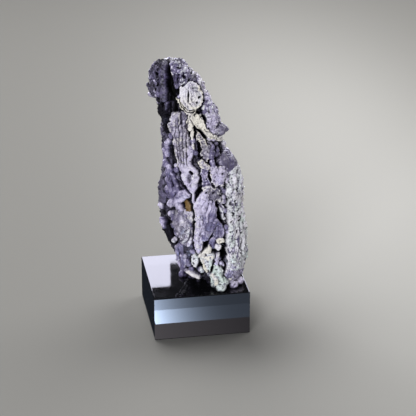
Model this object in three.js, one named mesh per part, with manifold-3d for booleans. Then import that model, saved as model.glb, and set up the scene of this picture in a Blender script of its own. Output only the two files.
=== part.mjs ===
// Grape agate cluster fixed on a square polished block.
// Millimetres, +Z up. The origin is the centre of the block's underside, and the block's front edge runs along X.
//
// The cluster is described on its show face: s runs across it to the right, h is the height above the block's
// top, and d is the depth behind it. The show face is turned a little about Z from the block's front.
//
// The cluster is one growth. Its trunk is a leaning, egg-sectioned column. Clefts are cut into the trunk, and ribs,
// lobes, rims and grape balls are joined to it, so all of it is one closed solid.

import * as THREE from "three";
import { mergeVertices } from "three/addons/utils/BufferGeometryUtils.js";
import Module from "manifold-3d";

const wasm = await Module();
wasm.setup();

// ---------------------------------------------------------------------------------------------------------------
// Driving dimensions
// ---------------------------------------------------------------------------------------------------------------

const BLOCK_WIDTH = 76.2;
const BLOCK_HEIGHT = 36.5;
const BLOCK_BEVEL = 0.7;
const BLOCK_BEVEL_STEPS = 3;

const FACE_TURN = THREE.MathUtils.degToRad(9.6); // show face, about Z, from the block's front
const SLAB_TURN = THREE.MathUtils.degToRad(20.4); // long axis of a trunk section, from the show face
const SECTION_POWER = 2.25; // superellipse power of a trunk section: 2 is an ellipse

// Trunk sections: height, centre across, half width across, centre depth, half thickness.
const TRUNK_SECTIONS = [
  [-6, 13, 12, -6, 7],
  [0, 13, 16, -7.5, 10],
  [4, 13.5, 19.5, -8.5, 15],
  [12, 13.5, 23.5, -8, 19],
  [24, 10.5, 27.5, -7, 22],
  [36, 7.5, 30.5, -6, 24],
  [48, 5.5, 32, -5, 25],
  [60, 5, 31, -4, 25],
  [72, 5, 29.5, -4, 24],
  [84, 5, 29.5, -4, 23],
  [96, 5, 28, -4, 22],
  [106, 4.5, 25.5, -4, 20],
  [113, 0.5, 22.5, -3.5, 19],
  [120, -1, 21.5, -3, 18],
  [132, -2.5, 22, -3, 17],
  [144, -5.5, 22, -2, 16],
  [156, -12, 20, -1, 14.5],
  [168, -15.5, 18, 0, 12],
  [176, -17, 13.5, 0, 9],
  [181, -17.5, 8, 0, 5.5],
  [183, -17.5, 3, 0, 2],
];
const TRUNK_SIDES = 40;
const TRUNK_RING_STEP = 6; // height between rings
const TRUNK_RING_END = 181.5;
const SWELL = 1.1; // height of the trunk's broad waves

// Clefts, by their course over the show face: points [s, h], half width, depth.
const CLEFTS = [
  // beside the crown's dark rib, and the hollow below it
  [[[-19, 181], [-17, 170], [-14, 160], [-13, 148]], 2.6, 9],
  [[[-17, 158], [-18, 149], [-21, 138], [-22, 126]], 4, 7],
  // left of the strands, down to the fold
  [[[-20, 134], [-17, 122], [-16, 108], [-12, 94], [-4, 85]], 1.5, 6],
  // the long seam down the middle, out to the left foot
  [[[-2, 83], [-1, 70], [0, 55], [0, 40], [5, 33]], 1.4, 6],
  // pockets in the middle
  [[[0, 119], [1, 112], [3, 106]], 2.5, 6],
  [[[-5, 100], [-4, 92]], 1.7, 6],
  [[[3, 90], [3, 83]], 1.9, 7],
  [[[-6, 77], [-6, 68]], 2.1, 5],
  // under the lobes
  [[[14, 57], [10, 47], [4, 35]], 1.5, 6],
  // right of the middle: under the ledges, beside the shoulder, then down beside the column
  [[[2, 148], [6, 144], [9, 137]], 1.7, 6],
  [[[3, 136], [9, 129], [16, 121]], 1.4, 6],
  [[[17, 118], [17, 110], [18, 102]], 1.7, 7],
  [[[23, 91], [22, 80], [20, 70], [22, 58], [24, 45], [22, 25]], 1.8, 8],
  // lower left shadow, and the gaps between the feet
  [[[-28, 60], [-23, 56], [-19, 45], [-16, 37]], 2.8, 7],
  [[[-3, 27], [-1, 18], [4, 8]], 2.3, 7],
  [[[13, 27], [12, 18], [9, 9]], 1.7, 7],
  [[[22, 38], [22, 30], [23, 24]], 2.6, 7],
];

// Ribs, lobes and ridges: points [s, h], radius at the start, radius at the end, depth of the middle line.
const PROUD = 0.8; // usual depth of a rib's middle line under the trunk's face
const DEEP = 4.5; // the same for a rib that stands inside a cleft
const RIBS = [
  // crown: the smooth dark rib, and the ribs inside the cleft
  [[[-23, 181], [-23, 168], [-24, 155]], 3.2, 2.8, PROUD],
  [[[-21, 157], [-21, 142]], 2.2, 1.9, 2.5],
  [[[-16, 160], [-16, 148]], 1.7, 1.5, DEEP],
  [[[-27, 154], [-25, 140], [-23, 126]], 2.2, 1.9, 1.5],
  // crest along the right outline
  [[[-20, 180], [-13, 180.5]], 3, 2.9, PROUD],
  [[[-9, 179], [-1, 174]], 3, 3, PROUD],
  [[[4, 170], [6, 164]], 3.1, 3.1, PROUD],
  [[[8, 160], [15, 150]], 2.8, 3, PROUD],
  [[[16, 147], [18, 139]], 2.8, 2.7, PROUD],
  [[[19, 134], [22, 131]], 2.2, 1.9, PROUD],
  [[[20, 130], [20, 122]], 2.2, 2, PROUD],
  // face of the crown
  [[[-14, 181], [-12, 169]], 2.3, 2, PROUD],
  [[[-10, 180], [-9, 172]], 3, 2.5, PROUD],
  [[[-5, 178], [-4, 173]], 2.8, 2.7, PROUD],
  // ledges that slant down to the right
  [[[-2, 148], [-1, 142], [6, 138]], 1.7, 1.8, 0],
  [[[6, 134], [12, 130], [20, 121]], 2, 1.8, 0],
  [[[4, 149], [10, 144], [18, 137]], 2.3, 2.2, PROUD],
  [[[10, 139], [18, 129]], 2.3, 2.2, PROUD],
  // bumpy flap
  [[[-12, 145], [-17, 137], [-14, 130]], 2.3, 2, 0],
  [[[-8, 145], [-11, 133]], 2.6, 2.3, PROUD],
  // strands
  [[[-14, 129], [-14, 118], [-12, 105]], 1.6, 1.5, 0.4],
  [[[-11, 132], [-11, 118], [-9, 104]], 1.7, 1.6, 0.4],
  [[[-7, 134], [-7, 120], [-5, 106]], 1.8, 1.8, 0.4],
  [[[-3, 135], [-3, 122], [-2, 110]], 1.6, 2, 0.4],
  // middle
  [[[4, 130], [5, 118]], 2.2, 2, PROUD],
  [[[9, 127], [8, 113]], 2.2, 2.2, PROUD],
  [[[13, 125], [14, 108]], 2.1, 2, PROUD],
  [[[5, 111], [13, 104]], 2.1, 2.3, PROUD],
  [[[7, 103], [10, 92]], 2.5, 2.4, PROUD],
  // fold of two fingers that meet below
  [[[-10, 102], [-8, 94], [-2, 85]], 2.6, 2, 0],
  [[[-7, 106], [2, 101], [2, 95], [-1, 88]], 2.5, 2.2, 0],
  // long smooth lobes
  [[[6, 84], [2, 70], [4, 60], [4, 40]], 4, 2.6, 0.6],
  [[[12, 75], [11, 65], [6, 45]], 4.2, 2.6, 0.6],
  [[[15, 68], [13, 59]], 2.5, 2.2, 1.2],
  // shelf above them
  [[[7, 94], [12, 88], [20, 82]], 2.6, 2.5, 0],
  [[[12, 86], [12, 77]], 2.3, 1.6, 0.4],
  [[[17, 83], [19, 76], [18, 69]], 2.3, 1.8, 0.4],
  // rough column down the right side
  [[[30, 102], [32, 92], [31, 82]], 4.2, 4.1, 1],
  [[[31, 82], [33, 72], [34, 62]], 4.3, 4.3, 1],
  [[[25, 88], [25, 76]], 2.3, 2.2, PROUD],
  [[[25, 68], [27, 50], [30, 28]], 2.7, 2.9, PROUD],
  [[[36, 58], [38, 46], [37, 27]], 3, 2.9, PROUD],
  [[[32, 59], [32, 45]], 3.3, 2.8, 1.2],
  [[[26, 32], [30, 19]], 2.5, 2.6, PROUD],
  // left edge
  [[[-18, 127], [-20, 121]], 2.9, 2.6, PROUD],
  [[[-21, 115], [-21, 108]], 2.4, 2.4, PROUD],
  [[[-24, 105], [-21, 97]], 2.4, 2.7, PROUD],
  [[[-24, 88], [-25, 77]], 2.3, 2.3, 1],
  [[[-18, 93], [-16, 79]], 3.2, 2.9, 1],
  [[[-13, 89], [-11, 80]], 2.9, 2.8, 1],
  [[[-27, 67], [-29, 57]], 2.3, 2, 0.4],
  [[[-27, 54], [-26, 47]], 2.6, 2.3, 0],
  // folded tube, and the tail beside it
  [[[-6, 83], [-12, 75], [-17, 69]], 3.3, 3.1, 0],
  [[[-11, 70], [-9, 63]], 2.3, 1.9, 0],
  // broad ridged dome
  [[[-16, 61], [-14, 53], [-12, 43]], 2.9, 2.5, 0.5],
  [[[-11, 62], [-9, 52], [-8, 41]], 2.9, 2.5, 0.5],
  [[[-6, 65], [-5, 53], [-3, 40]], 2.8, 2.3, 0.5],
  // feet
  [[[-12, 35], [-6, 31]], 3.2, 3.2, PROUD],
  [[[-10, 28], [-9, 16], [-9, 3]], 3.1, 3, -1],
  [[[-5, 13], [3, 8]], 2.6, 1.9, 0],
  [[[5, 34], [9, 38]], 2.9, 2.9, 0],
  [[[13, 41], [21, 45]], 2.7, 2.3, 0.4],
  [[[9, 30], [10, 16]], 4.3, 3.6, 0],
  [[[0, 27], [2, 19]], 2.6, 2.3, 0],
];
const RIB_SIDES = 6;
const RIB_STEP = 5; // length between a rib's rings
const RIB_BEADING = [0.86, 1.16]; // a ring's radius, in the rib's
const RIB_TIP = [0.55, 0.72]; // the ring next to a tip: its place and its radius, in tip radii

// Rosette: rims that curl round a shallow cup, in the same form as the ribs.
const ROSETTE_RIMS = [
  [[[-14, 162], [-10, 153], [-5, 147], [-2, 149]], 1.2, 1.4, -0.6],
  [[[-5, 176], [-11, 170], [-10, 160], [-5, 152], [1, 151]], 2.3, 2, -0.8],
  [[[-3, 175], [-6, 167], [-5, 160], [-3, 154]], 1.4, 1.3, -0.6],
  [[[-2, 175], [3, 172], [6, 163], [5, 156], [1, 151]], 1.5, 1.6, -0.8],
];
const ROSETTE_CUP = [[0, 163], 5.5, 9, 4];

// Rounded mounds: [s, h], half width, half height, depth of the centre.
const MOUNDS = [
  [[25, 106], 9, 7.5, 4.5],
  [[17, 97], 6.5, 7, 2.5],
  [[-31, 160], 5.5, 8, 2],
];

// Grape balls: s, h, radius.
const GRAPES = [
  // knob at the top left
  [-33, 159, 4], [-31, 169, 3.8], [-28, 175, 3], [-27, 160, 2.8], [-35, 163, 2.6], [-34, 154, 2.3], [-27, 152, 2.1],
  // left edge
  [-25, 118, 1.9], [-28, 91, 2.2], [-22, 91, 2.6], [-22, 75, 2.6], [-20, 62, 2.4], [-17, 39, 2.2], [-15, 103, 1.7],
  // beside the lobes
  [14, 52, 2.4], [18, 55, 2.5], [21, 51, 2.1], [17, 48, 2.4],
  // front foot
  [18, 28, 2.4], [18, 22, 2.4], [21, 15, 2.6], [16, 17, 2.3], [14, 12, 2.5], [13, 6, 2.4], [17, 7, 2.7], [20, 9, 2.8],
  // right foot
  [25, 14, 3.1], [28, 20, 3], [33, 12, 3.5], [33, 19, 3], [36, 21, 3], [38, 26, 3.2], [28, 8, 2.4],
];

// Feet that reach the block where the trunk's underside draws in: s, d, h, radius.
const FOOT_GRAPES = [
  [21, -29, 3, 4], [19, -26.5, 5, 4], [16, -24, 3.5, 3.4], [23.5, -27, 7, 3.6], [31, -22.5, 2.6, 3.6],
  [35, -17.5, 3, 3.6], [28, -22, 7, 3.5], [3.5, -12.5, 1.5, 2.4], [-9.5, -3.5, 1.5, 3.2], [12, -15, 1.5, 2.6],
];

// The back, in the same forms as the front: s runs the same way, and the trunk's far side carries them.
const BACK_CLEFTS = [
  [[[-22, 162], [-16, 140], [-14, 118]], 2.6, 7],
  [[[8, 152], [2, 128], [4, 104], [-2, 82]], 2.5, 7],
  [[[24, 112], [20, 90], [24, 66], [18, 44]], 2.7, 7],
  [[[-14, 92], [-12, 70], [-16, 52], [-10, 34]], 2.6, 7],
  [[[6, 62], [4, 40], [8, 18]], 2.4, 6],
];
const BACK_RIBS = [
  [[[-20, 178], [-25, 162], [-27, 147]], 4.6, 4, 2],
  [[[-9, 180], [-11, 160], [-8, 138]], 5.4, 4.8, 2.6],
  [[[2, 168], [9, 150], [12, 133]], 4.4, 5, 2],
  [[[-21, 136], [-22, 118], [-20, 101]], 4.4, 4.6, 2],
  [[[-5, 130], [-8, 112], [-6, 93]], 5.4, 4.8, 2.6],
  [[[14, 126], [14, 108], [11, 86]], 5.6, 5, 2.8],
  [[[29, 98], [33, 78], [30, 57]], 5, 5, 2],
  [[[-22, 84], [-25, 66], [-22, 46]], 5, 4.4, 2],
  [[[-3, 76], [-5, 57], [-2, 38]], 5.5, 4.6, 2.6],
  [[[12, 76], [14, 55], [13, 33]], 5.6, 5, 2.8],
  [[[30, 48], [31, 30], [28, 12]], 5, 4.6, 2],
  [[[-10, 28], [-4, 14], [-3, 4]], 4.4, 4, 1.6],
  [[[15, 24], [13, 6]], 5, 4.6, 2],
];

// Fields of scattered grape balls: how many, on which side, where, and how big. Across is a share of the half width
// from the section's centre.
const GRAPE_FIELDS = [
  { count: 44, side: -1, across: [-0.8, 0.8], height: [8, 172], radius: [2.6, 5.4] },
  { count: 26, side: 1, across: [0.62, 0.97], height: [8, 100], radius: [1.9, 2.9] },
  { count: 14, side: 1, across: [0.45, 0.97], height: [112, 150], radius: [1.6, 2.5] },
  { count: 12, side: 1, across: [0.1, 0.97], height: [156, 178], radius: [1.5, 2.2] },
  { count: 16, side: 1, across: [-0.75, -0.2], height: [38, 64], radius: [1.6, 2.4] },
  { count: 16, side: 1, across: [-0.7, 0.9], height: [6, 34], radius: [1.8, 2.8] },
  { count: 10, side: 1, across: [-0.97, -0.6], height: [66, 104], radius: [1.7, 2.6] },
];
const GRAPE_SINK = 0.35; // of the radius
const GRAPE_SEED = 11;
const COARSE_BELOW = 3.4; // a ball of a smaller radius has 20 faces, and a bigger one 80

const CUT_DEPTH = 30; // the tool that levels the feet

// Seams: the joins leave short edges along them. Edges up to the first length close up where no face turns by more
// than the stated angle, in rounds of growing length.
const SEAM_ROUNDS = [
  { length: 0.4, turn: 75 },
  { length: 0.8, turn: 55 },
  { length: 1.2, turn: 35 },
  { length: 1.8, turn: 20 },
  { length: 3.2, turn: 10 },
];

const AGATE = new THREE.MeshStandardMaterial({ color: 0xa59fc0, roughness: 0.5, metalness: 0 });
const ACRYLIC = new THREE.MeshStandardMaterial({ color: 0x08080a, roughness: 0.05, metalness: 0 });

// ---------------------------------------------------------------------------------------------------------------
// Trunk surface
// ---------------------------------------------------------------------------------------------------------------

const NEAR = 1; // the trunk's near side, towards the viewer of the show face
const FAR = -1;

/** Smooth curve through one column of TRUNK_SECTIONS at a height. */
function sectionValue(column, h) {
  const rows = TRUNK_SECTIONS;
  const last = rows.length - 1;
  let i = 0;
  while (i < last - 1 && rows[i + 1][0] <= h) i += 1;
  const slope = (k) => {
    const a = rows[Math.max(k - 1, 0)];
    const b = rows[Math.min(k + 1, last)];
    return (b[column] - a[column]) / (b[0] - a[0]);
  };
  const step = rows[i + 1][0] - rows[i][0];
  const t = THREE.MathUtils.clamp((h - rows[i][0]) / step, 0, 1);
  const t2 = t * t;
  const t3 = t2 * t;
  return (2 * t3 - 3 * t2 + 1) * rows[i][column] + (t3 - 2 * t2 + t) * step * slope(i)
    + (3 * t2 - 2 * t3) * rows[i + 1][column] + (t3 - t2) * step * slope(i + 1);
}

/** Half length and half thickness of the section whose reach across the show face is the stated one. */
function sectionAxes(h) {
  const reach = Math.max(sectionValue(2, h), 0.5);
  const thick = Math.max(sectionValue(4, h), 0.5);
  const long2 = reach ** 2 - (thick * Math.sin(SLAB_TURN)) ** 2;
  return [Math.sqrt(Math.max(long2, (0.55 * reach) ** 2)) / Math.cos(SLAB_TURN), thick];
}

/** Broad uneven waves of the trunk. */
function swell(angle, h) {
  return SWELL * (0.5 * Math.sin(3 * angle + 0.09 * h) + 0.35 * Math.sin(5 * angle - 0.13 * h + 1)
    + 0.35 * Math.sin(2 * angle + 0.21 * h + 2));
}

/** Point of the trunk's surface in (s, d, h). */
function trunkPoint(angle, h) {
  const [long, thick] = sectionAxes(h);
  const c = Math.cos(angle);
  const n = Math.sin(angle);
  const wave = swell(angle, h) * Math.min(1, thick / 8);
  const x = long * Math.sign(c) * Math.abs(c) ** (2 / SECTION_POWER) + wave * c;
  const y = thick * Math.sign(n) * Math.abs(n) ** (2 / SECTION_POWER) + wave * n;
  return new THREE.Vector3(
    sectionValue(1, h) + x * Math.cos(SLAB_TURN) + y * Math.sin(SLAB_TURN),
    sectionValue(3, h) - x * Math.sin(SLAB_TURN) + y * Math.cos(SLAB_TURN),
    h,
  );
}

/** Outward direction of the trunk's surface at an angle and a height. */
function trunkNormal(angle, h) {
  const e = 0.02;
  const along = trunkPoint(angle + e, h).sub(trunkPoint(angle - e, h));
  const up = trunkPoint(angle, h + 1).sub(trunkPoint(angle, h - 1));
  return along.cross(up).normalize();
}

/** The spot of the trunk at (s, h), on its near or far side: a point and its outward direction. Past the outline,
 *  s is kept. */
function onFace(s, h, side = NEAR) {
  const steps = 240;
  let best = null;
  let edge = null;
  let previous = trunkPoint(0, h);
  for (let i = 1; i <= steps; i += 1) {
    const angle = (2 * Math.PI * i) / steps;
    const point = trunkPoint(angle, h);
    if ((previous.x - s) * (point.x - s) <= 0 && (!best || side * point.y < side * best.point.y)) {
      best = { angle, point };
    }
    if (!edge || Math.abs(point.x - s) < Math.abs(edge.point.x - s)) edge = { angle, point };
    previous = point;
  }
  const spot = best || edge;
  return { point: new THREE.Vector3(s, spot.point.y, h), normal: trunkNormal(spot.angle, h) };
}

/** From (s, d, h) to the part's own axes. */
function toPart(v) {
  const c = Math.cos(FACE_TURN);
  const n = Math.sin(FACE_TURN);
  return new THREE.Vector3(v.x * c + v.y * n, -v.x * n + v.y * c, v.z + BLOCK_HEIGHT);
}

// ---------------------------------------------------------------------------------------------------------------
// Closed meshes
// ---------------------------------------------------------------------------------------------------------------

/** Rings of points, closed by a pole at each end, as one closed solid. Each ring turns anticlockwise seen from
 *  the last pole. */
function solidFromRings(rings, firstPole, lastPole) {
  const sides = rings[0].length;
  const points = [firstPole, ...rings.flat(), lastPole];
  const end = points.length - 1;
  const faces = [];
  for (let k = 0; k < sides; k += 1) {
    const k2 = (k + 1) % sides;
    faces.push(0, 1 + k2, 1 + k);
    for (let j = 0; j + 1 < rings.length; j += 1) {
      const a = 1 + j * sides;
      const b = a + sides;
      faces.push(a + k, a + k2, b + k2, a + k, b + k2, b + k);
    }
    faces.push(end - sides + k, end - sides + k2, end);
  }
  return solid(points.flatMap((p) => toPart(p).toArray()), faces);
}

/** A manifold solid from coordinates and triangles. */
function solid(coordinates, faces) {
  return new wasm.Manifold(new wasm.Mesh({
    numProp: 3,
    vertProperties: Float32Array.from(coordinates),
    triVerts: Uint32Array.from(faces),
  }));
}

/** A manifold solid from a three.js geometry whose points are already in the part's axes. */
function solidFromGeometry(geometry) {
  geometry.deleteAttribute("normal");
  geometry.deleteAttribute("uv");
  const merged = mergeVertices(geometry, 1e-4);
  return solid(merged.attributes.position.array, merged.index.array);
}

/** The trunk as a closed solid. */
function trunk() {
  const rings = [];
  for (let h = -TRUNK_RING_STEP / 2; h <= TRUNK_RING_END; h += TRUNK_RING_STEP) {
    const ring = [];
    for (let k = 0; k < TRUNK_SIDES; k += 1) ring.push(trunkPoint((2 * Math.PI * k) / TRUNK_SIDES, h));
    rings.push(ring);
  }
  const centre = (h) => new THREE.Vector3(sectionValue(1, h), sectionValue(3, h), h);
  return solidFromRings(rings, centre(-TRUNK_RING_STEP), centre(TRUNK_RING_END + 1.5));
}

/** Spots along a course of [s, h] points, evenly spaced, each with its direction of travel. */
function courseSpots(course, step, sink, side) {
  const marks = course.map(([s, h]) => {
    const spot = onFace(s, h, side);
    return spot.point.addScaledVector(spot.normal, -sink);
  });
  const curve = new THREE.CatmullRomCurve3(marks, false, "centripetal");
  const count = Math.max(2, Math.round(curve.getLength() / step) + 1);
  return Array.from({ length: count }, (_, i) => {
    const t = i / (count - 1);
    const middle = curve.getPointAt(t);
    const outward = onFace(middle.x, middle.z, side).normal;
    const along = curve.getTangentAt(t);
    const across = new THREE.Vector3().crossVectors(along, outward).normalize();
    return { middle, along, across, out: new THREE.Vector3().crossVectors(across, along).normalize(), t };
  });
}

/** Uneven thickness along a rib, from where its middle line is. */
function beading(v) {
  const wave = 0.5 + 0.5 * Math.sin(1.3 * v.z + 0.7 * v.x + 0.4 * v.y);
  return THREE.MathUtils.lerp(RIB_BEADING[0], RIB_BEADING[1], wave);
}

/** A rib: a round, beaded finger with domed tips that lies along a course. */
function rib([course, startRadius, endRadius, sink], side = NEAR) {
  const spots = courseSpots(course, RIB_STEP, sink, side);
  const radiusAt = (t) => THREE.MathUtils.lerp(startRadius, endRadius, t);
  const ring = (spot, shift, radius) => Array.from({ length: RIB_SIDES }, (_, k) => {
    const turn = (2 * Math.PI * (k + 0.5)) / RIB_SIDES;
    return spot.middle.clone().addScaledVector(spot.along, shift)
      .addScaledVector(spot.across, -radius * Math.cos(turn)).addScaledVector(spot.out, radius * Math.sin(turn));
  });
  const [tipPlace, tipRadius] = RIB_TIP;
  const first = spots[0];
  const last = spots[spots.length - 1];
  const rings = [
    ring(first, -startRadius * tipPlace, startRadius * tipRadius),
    ...spots.map((spot) => ring(spot, 0, radiusAt(spot.t) * beading(spot.middle))),
    ring(last, endRadius * tipPlace, endRadius * tipRadius),
  ];
  return solidFromRings(
    rings,
    first.middle.clone().addScaledVector(first.along, -startRadius),
    last.middle.clone().addScaledVector(last.along, endRadius),
  );
}

/** The body that cuts a cleft: a blade that is widest outside the face, and shallower towards both ends. */
function cleft([course, halfWidth, depth], side = NEAR) {
  const profile = [[1.1, 0.5], [0.75, -0.45], [0, -1], [-0.75, -0.45], [-1.1, 0.5]];
  const spots = courseSpots(course, RIB_STEP, 0, side);
  const rings = spots.map((spot) => {
    const taper = 0.45 + 0.55 * Math.sin(Math.PI * THREE.MathUtils.clamp(spot.t, 0.12, 0.88));
    return profile.map(([across, out]) => spot.middle.clone()
      .addScaledVector(spot.across, across * halfWidth * taper)
      .addScaledVector(spot.out, out * depth * taper));
  });
  const first = spots[0];
  const last = spots[spots.length - 1];
  return solidFromRings(
    rings,
    first.middle.clone().addScaledVector(first.along, -halfWidth),
    last.middle.clone().addScaledVector(last.along, halfWidth),
  );
}

/** A round lump in (s, d, h), stretched by three half sizes. */
function lump(centre, across, deep, high, detail = 1) {
  const geometry = new THREE.IcosahedronGeometry(1, detail);
  geometry.scale(across, deep, high);
  geometry.rotateZ(-FACE_TURN);
  const place = toPart(centre);
  geometry.translate(place.x, place.y, place.z);
  return solidFromGeometry(geometry);
}

/** A mound whose centre lies under the show face. */
function mound([[s, h], halfWidth, halfHeight, sink]) {
  const spot = onFace(s, h);
  return lump(spot.point.addScaledVector(spot.normal, -sink), halfWidth, Math.min(halfWidth, halfHeight), halfHeight);
}

/** A ball in (s, d, h). */
function ball(centre, radius) {
  return lump(centre, radius, radius, radius, radius < COARSE_BELOW ? 0 : 1);
}

/** A grape ball that stands proud of the trunk. */
function grape([s, h, radius], side = NEAR) {
  const spot = onFace(s, h, side);
  return ball(spot.point.addScaledVector(spot.normal, -radius * GRAPE_SINK), radius);
}

/** A seeded generator of numbers from 0 to 1. */
function randomNumbers(seed) {
  let state = seed;
  return () => {
    state = (state * 16807) % 2147483647;
    return state / 2147483647;
  };
}

/** The scattered grape balls. */
function scatteredGrapes() {
  const random = randomNumbers(GRAPE_SEED);
  const between = ([low, high]) => THREE.MathUtils.lerp(low, high, random());
  return GRAPE_FIELDS.flatMap(({ count, side, across, height, radius }) => Array.from({ length: count }, () => {
    const h = between(height);
    const s = sectionValue(1, h) + between(across) * sectionValue(2, h);
    return grape([s, h, between(radius)], side);
  }));
}

// ---------------------------------------------------------------------------------------------------------------
// Pieces
// ---------------------------------------------------------------------------------------------------------------

/** The largest body of a mesh, by faces that share an edge. Loose crumbs and sealed hollows are left out. */
function largestBody(coordinates, faces) {
  const parent = Uint32Array.from({ length: faces.length / 3 }, (_, i) => i);
  const root = (i) => {
    let r = i;
    while (parent[r] !== r) r = parent[r];
    parent[i] = r;
    return r;
  };
  const edgeOwner = new Map();
  faces.forEach((from, i) => {
    const face = Math.floor(i / 3);
    const to = faces[3 * face + ((i + 1) % 3)];
    const edge = from < to ? `${from} ${to}` : `${to} ${from}`;
    if (edgeOwner.has(edge)) parent[root(face)] = root(edgeOwner.get(edge));
    edgeOwner.set(edge, face);
  });
  const tally = new Map();
  parent.forEach((_, face) => tally.set(root(face), (tally.get(root(face)) || 0) + 1));
  const [main] = [...tally.entries()].sort((a, b) => b[1] - a[1])[0];
  const geometry = new THREE.BufferGeometry();
  geometry.setAttribute("position", new THREE.BufferAttribute(Float32Array.from(coordinates), 3));
  geometry.setIndex([...faces].filter((_, i) => root(Math.floor(i / 3)) === main));
  return geometry;
}

/** Closes up short edges of a closed mesh. An edge goes only if its ends share just the two corners beside it, so
 *  the mesh stays closed, and if no face around it turns too far. Corners on the block's top stay on it. */
function closeSeams(geometry, rounds) {
  const place = geometry.attributes.position;
  const corner = (i) => new THREE.Vector3().fromBufferAttribute(place, i);
  const points = Array.from({ length: place.count }, (_, i) => corner(i));
  const index = geometry.index.array;
  const faces = [];
  const around = points.map(() => new Set());
  for (let i = 0; i < index.length; i += 3) {
    const face = [index[i], index[i + 1], index[i + 2]];
    for (const v of face) around[v].add(faces.length);
    faces.push(face);
  }
  const neighbours = (v) => new Set([...around[v]].flatMap((f) => faces[f]).filter((w) => w !== v));
  const normal = (a, b, c) => new THREE.Vector3().subVectors(b, a).cross(new THREE.Vector3().subVectors(c, a));
  const turnsTooFar = (v, other, target, limit) => [...around[v]].some((f) => {
    if (faces[f].includes(other)) return false;
    const before = normal(...faces[f].map((w) => points[w]));
    const after = normal(...faces[f].map((w) => (w === v ? target : points[w])));
    return after.length() < 0.02 || before.dot(after) < limit * before.length() * after.length();
  });
  const level = (v) => Math.abs(points[v].z - BLOCK_HEIGHT) < 1e-3;
  const target = (u, v) => {
    if (level(u) !== level(v)) return (level(u) ? points[u] : points[v]).clone();
    return points[u].clone().lerp(points[v], 0.5);
  };
  const close = (u, v, limit) => {
    const shared = [...around[u]].filter((f) => around[v].has(f));
    const near = neighbours(v);
    const common = [...neighbours(u)].filter((w) => near.has(w));
    if (shared.length !== 2 || common.length !== 2) return false;
    const goal = target(u, v);
    if (turnsTooFar(u, v, goal, limit) || turnsTooFar(v, u, goal, limit)) return false;
    for (const f of shared) {
      for (const w of faces[f]) around[w].delete(f);
      faces[f] = null;
    }
    for (const f of around[v]) {
      faces[f] = faces[f].map((w) => (w === v ? u : w));
      around[u].add(f);
    }
    around[v].clear();
    points[u] = goal;
    return true;
  };
  for (const { length, turn } of rounds) {
    const limit = Math.cos(THREE.MathUtils.degToRad(turn));
    for (let f = 0; f < faces.length; f += 1) {
      for (let k = 0; k < 3 && faces[f]; k += 1) {
        const u = faces[f][k];
        const v = faces[f][(k + 1) % 3];
        if (points[u].distanceTo(points[v]) < length) close(u, v, limit);
      }
    }
  }
  return largestBody(points.flatMap((p) => p.toArray()), faces.filter(Boolean).flat());
}

/** The whole cluster, levelled where it stands on the block's top. */
function clusterGeometry() {
  let body = trunk();
  for (const row of CLEFTS) body = body.subtract(cleft(row));
  for (const row of BACK_CLEFTS) body = body.subtract(cleft(row, FAR));
  const growths = [
    ...BACK_RIBS.map((row) => rib(row, FAR)),
    ...scatteredGrapes(),
    ...MOUNDS.map(mound),
    ...RIBS.map((row) => rib(row)),
    ...ROSETTE_RIMS.map((row) => rib(row)),
    mound(ROSETTE_CUP),
    ...GRAPES.map((row) => grape(row)),
    ...FOOT_GRAPES.map(([s, d, h, radius]) => ball(new THREE.Vector3(s, d, h), radius)),
  ];
  for (const growth of growths) body = body.add(growth);
  const level = new THREE.BoxGeometry(4 * BLOCK_WIDTH, 4 * BLOCK_WIDTH, CUT_DEPTH);
  level.translate(0, 0, BLOCK_HEIGHT - CUT_DEPTH / 2);
  const mesh = body.subtract(solidFromGeometry(level)).getMesh();
  return closeSeams(largestBody(mesh.vertProperties, mesh.triVerts), SEAM_ROUNDS);
}

/** The square block, with small rounded edges. */
function blockGeometry() {
  const half = BLOCK_WIDTH / 2 - BLOCK_BEVEL;
  const outline = new THREE.Shape();
  outline.moveTo(-half, -half);
  outline.lineTo(half, -half);
  outline.lineTo(half, half);
  outline.lineTo(-half, half);
  outline.closePath();
  const geometry = new THREE.ExtrudeGeometry(outline, {
    depth: BLOCK_HEIGHT - 2 * BLOCK_BEVEL,
    bevelEnabled: true,
    bevelThickness: BLOCK_BEVEL,
    bevelSize: BLOCK_BEVEL,
    bevelSegments: BLOCK_BEVEL_STEPS,
  });
  geometry.translate(0, 0, BLOCK_BEVEL);
  return geometry;
}

/** A named mesh. */
function piece(name, geometry, material) {
  const mesh = new THREE.Mesh(geometry, material);
  mesh.name = name;
  return mesh;
}

const part = new THREE.Group();
part.add(piece("grape_agate_cluster", clusterGeometry(), AGATE));
part.add(piece("display_base", blockGeometry(), ACRYLIC));

export default part;
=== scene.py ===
"""Grape agate cluster on a polished block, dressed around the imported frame.

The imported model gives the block, and the solid that the cluster's skin is grown over. This file makes that skin: the
trunk with its clefts, the ribs and lobes, the rosette, the mounds and the coat of grape balls.

Shapes are described on the show face, in millimetres: s runs across it to the right, d is the depth behind it, and h
is the height above the block's top. Meshes are put in metres, in the frame's own axes.
"""
import logging
import math
from dataclasses import dataclass, field
from enum import Enum

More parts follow.
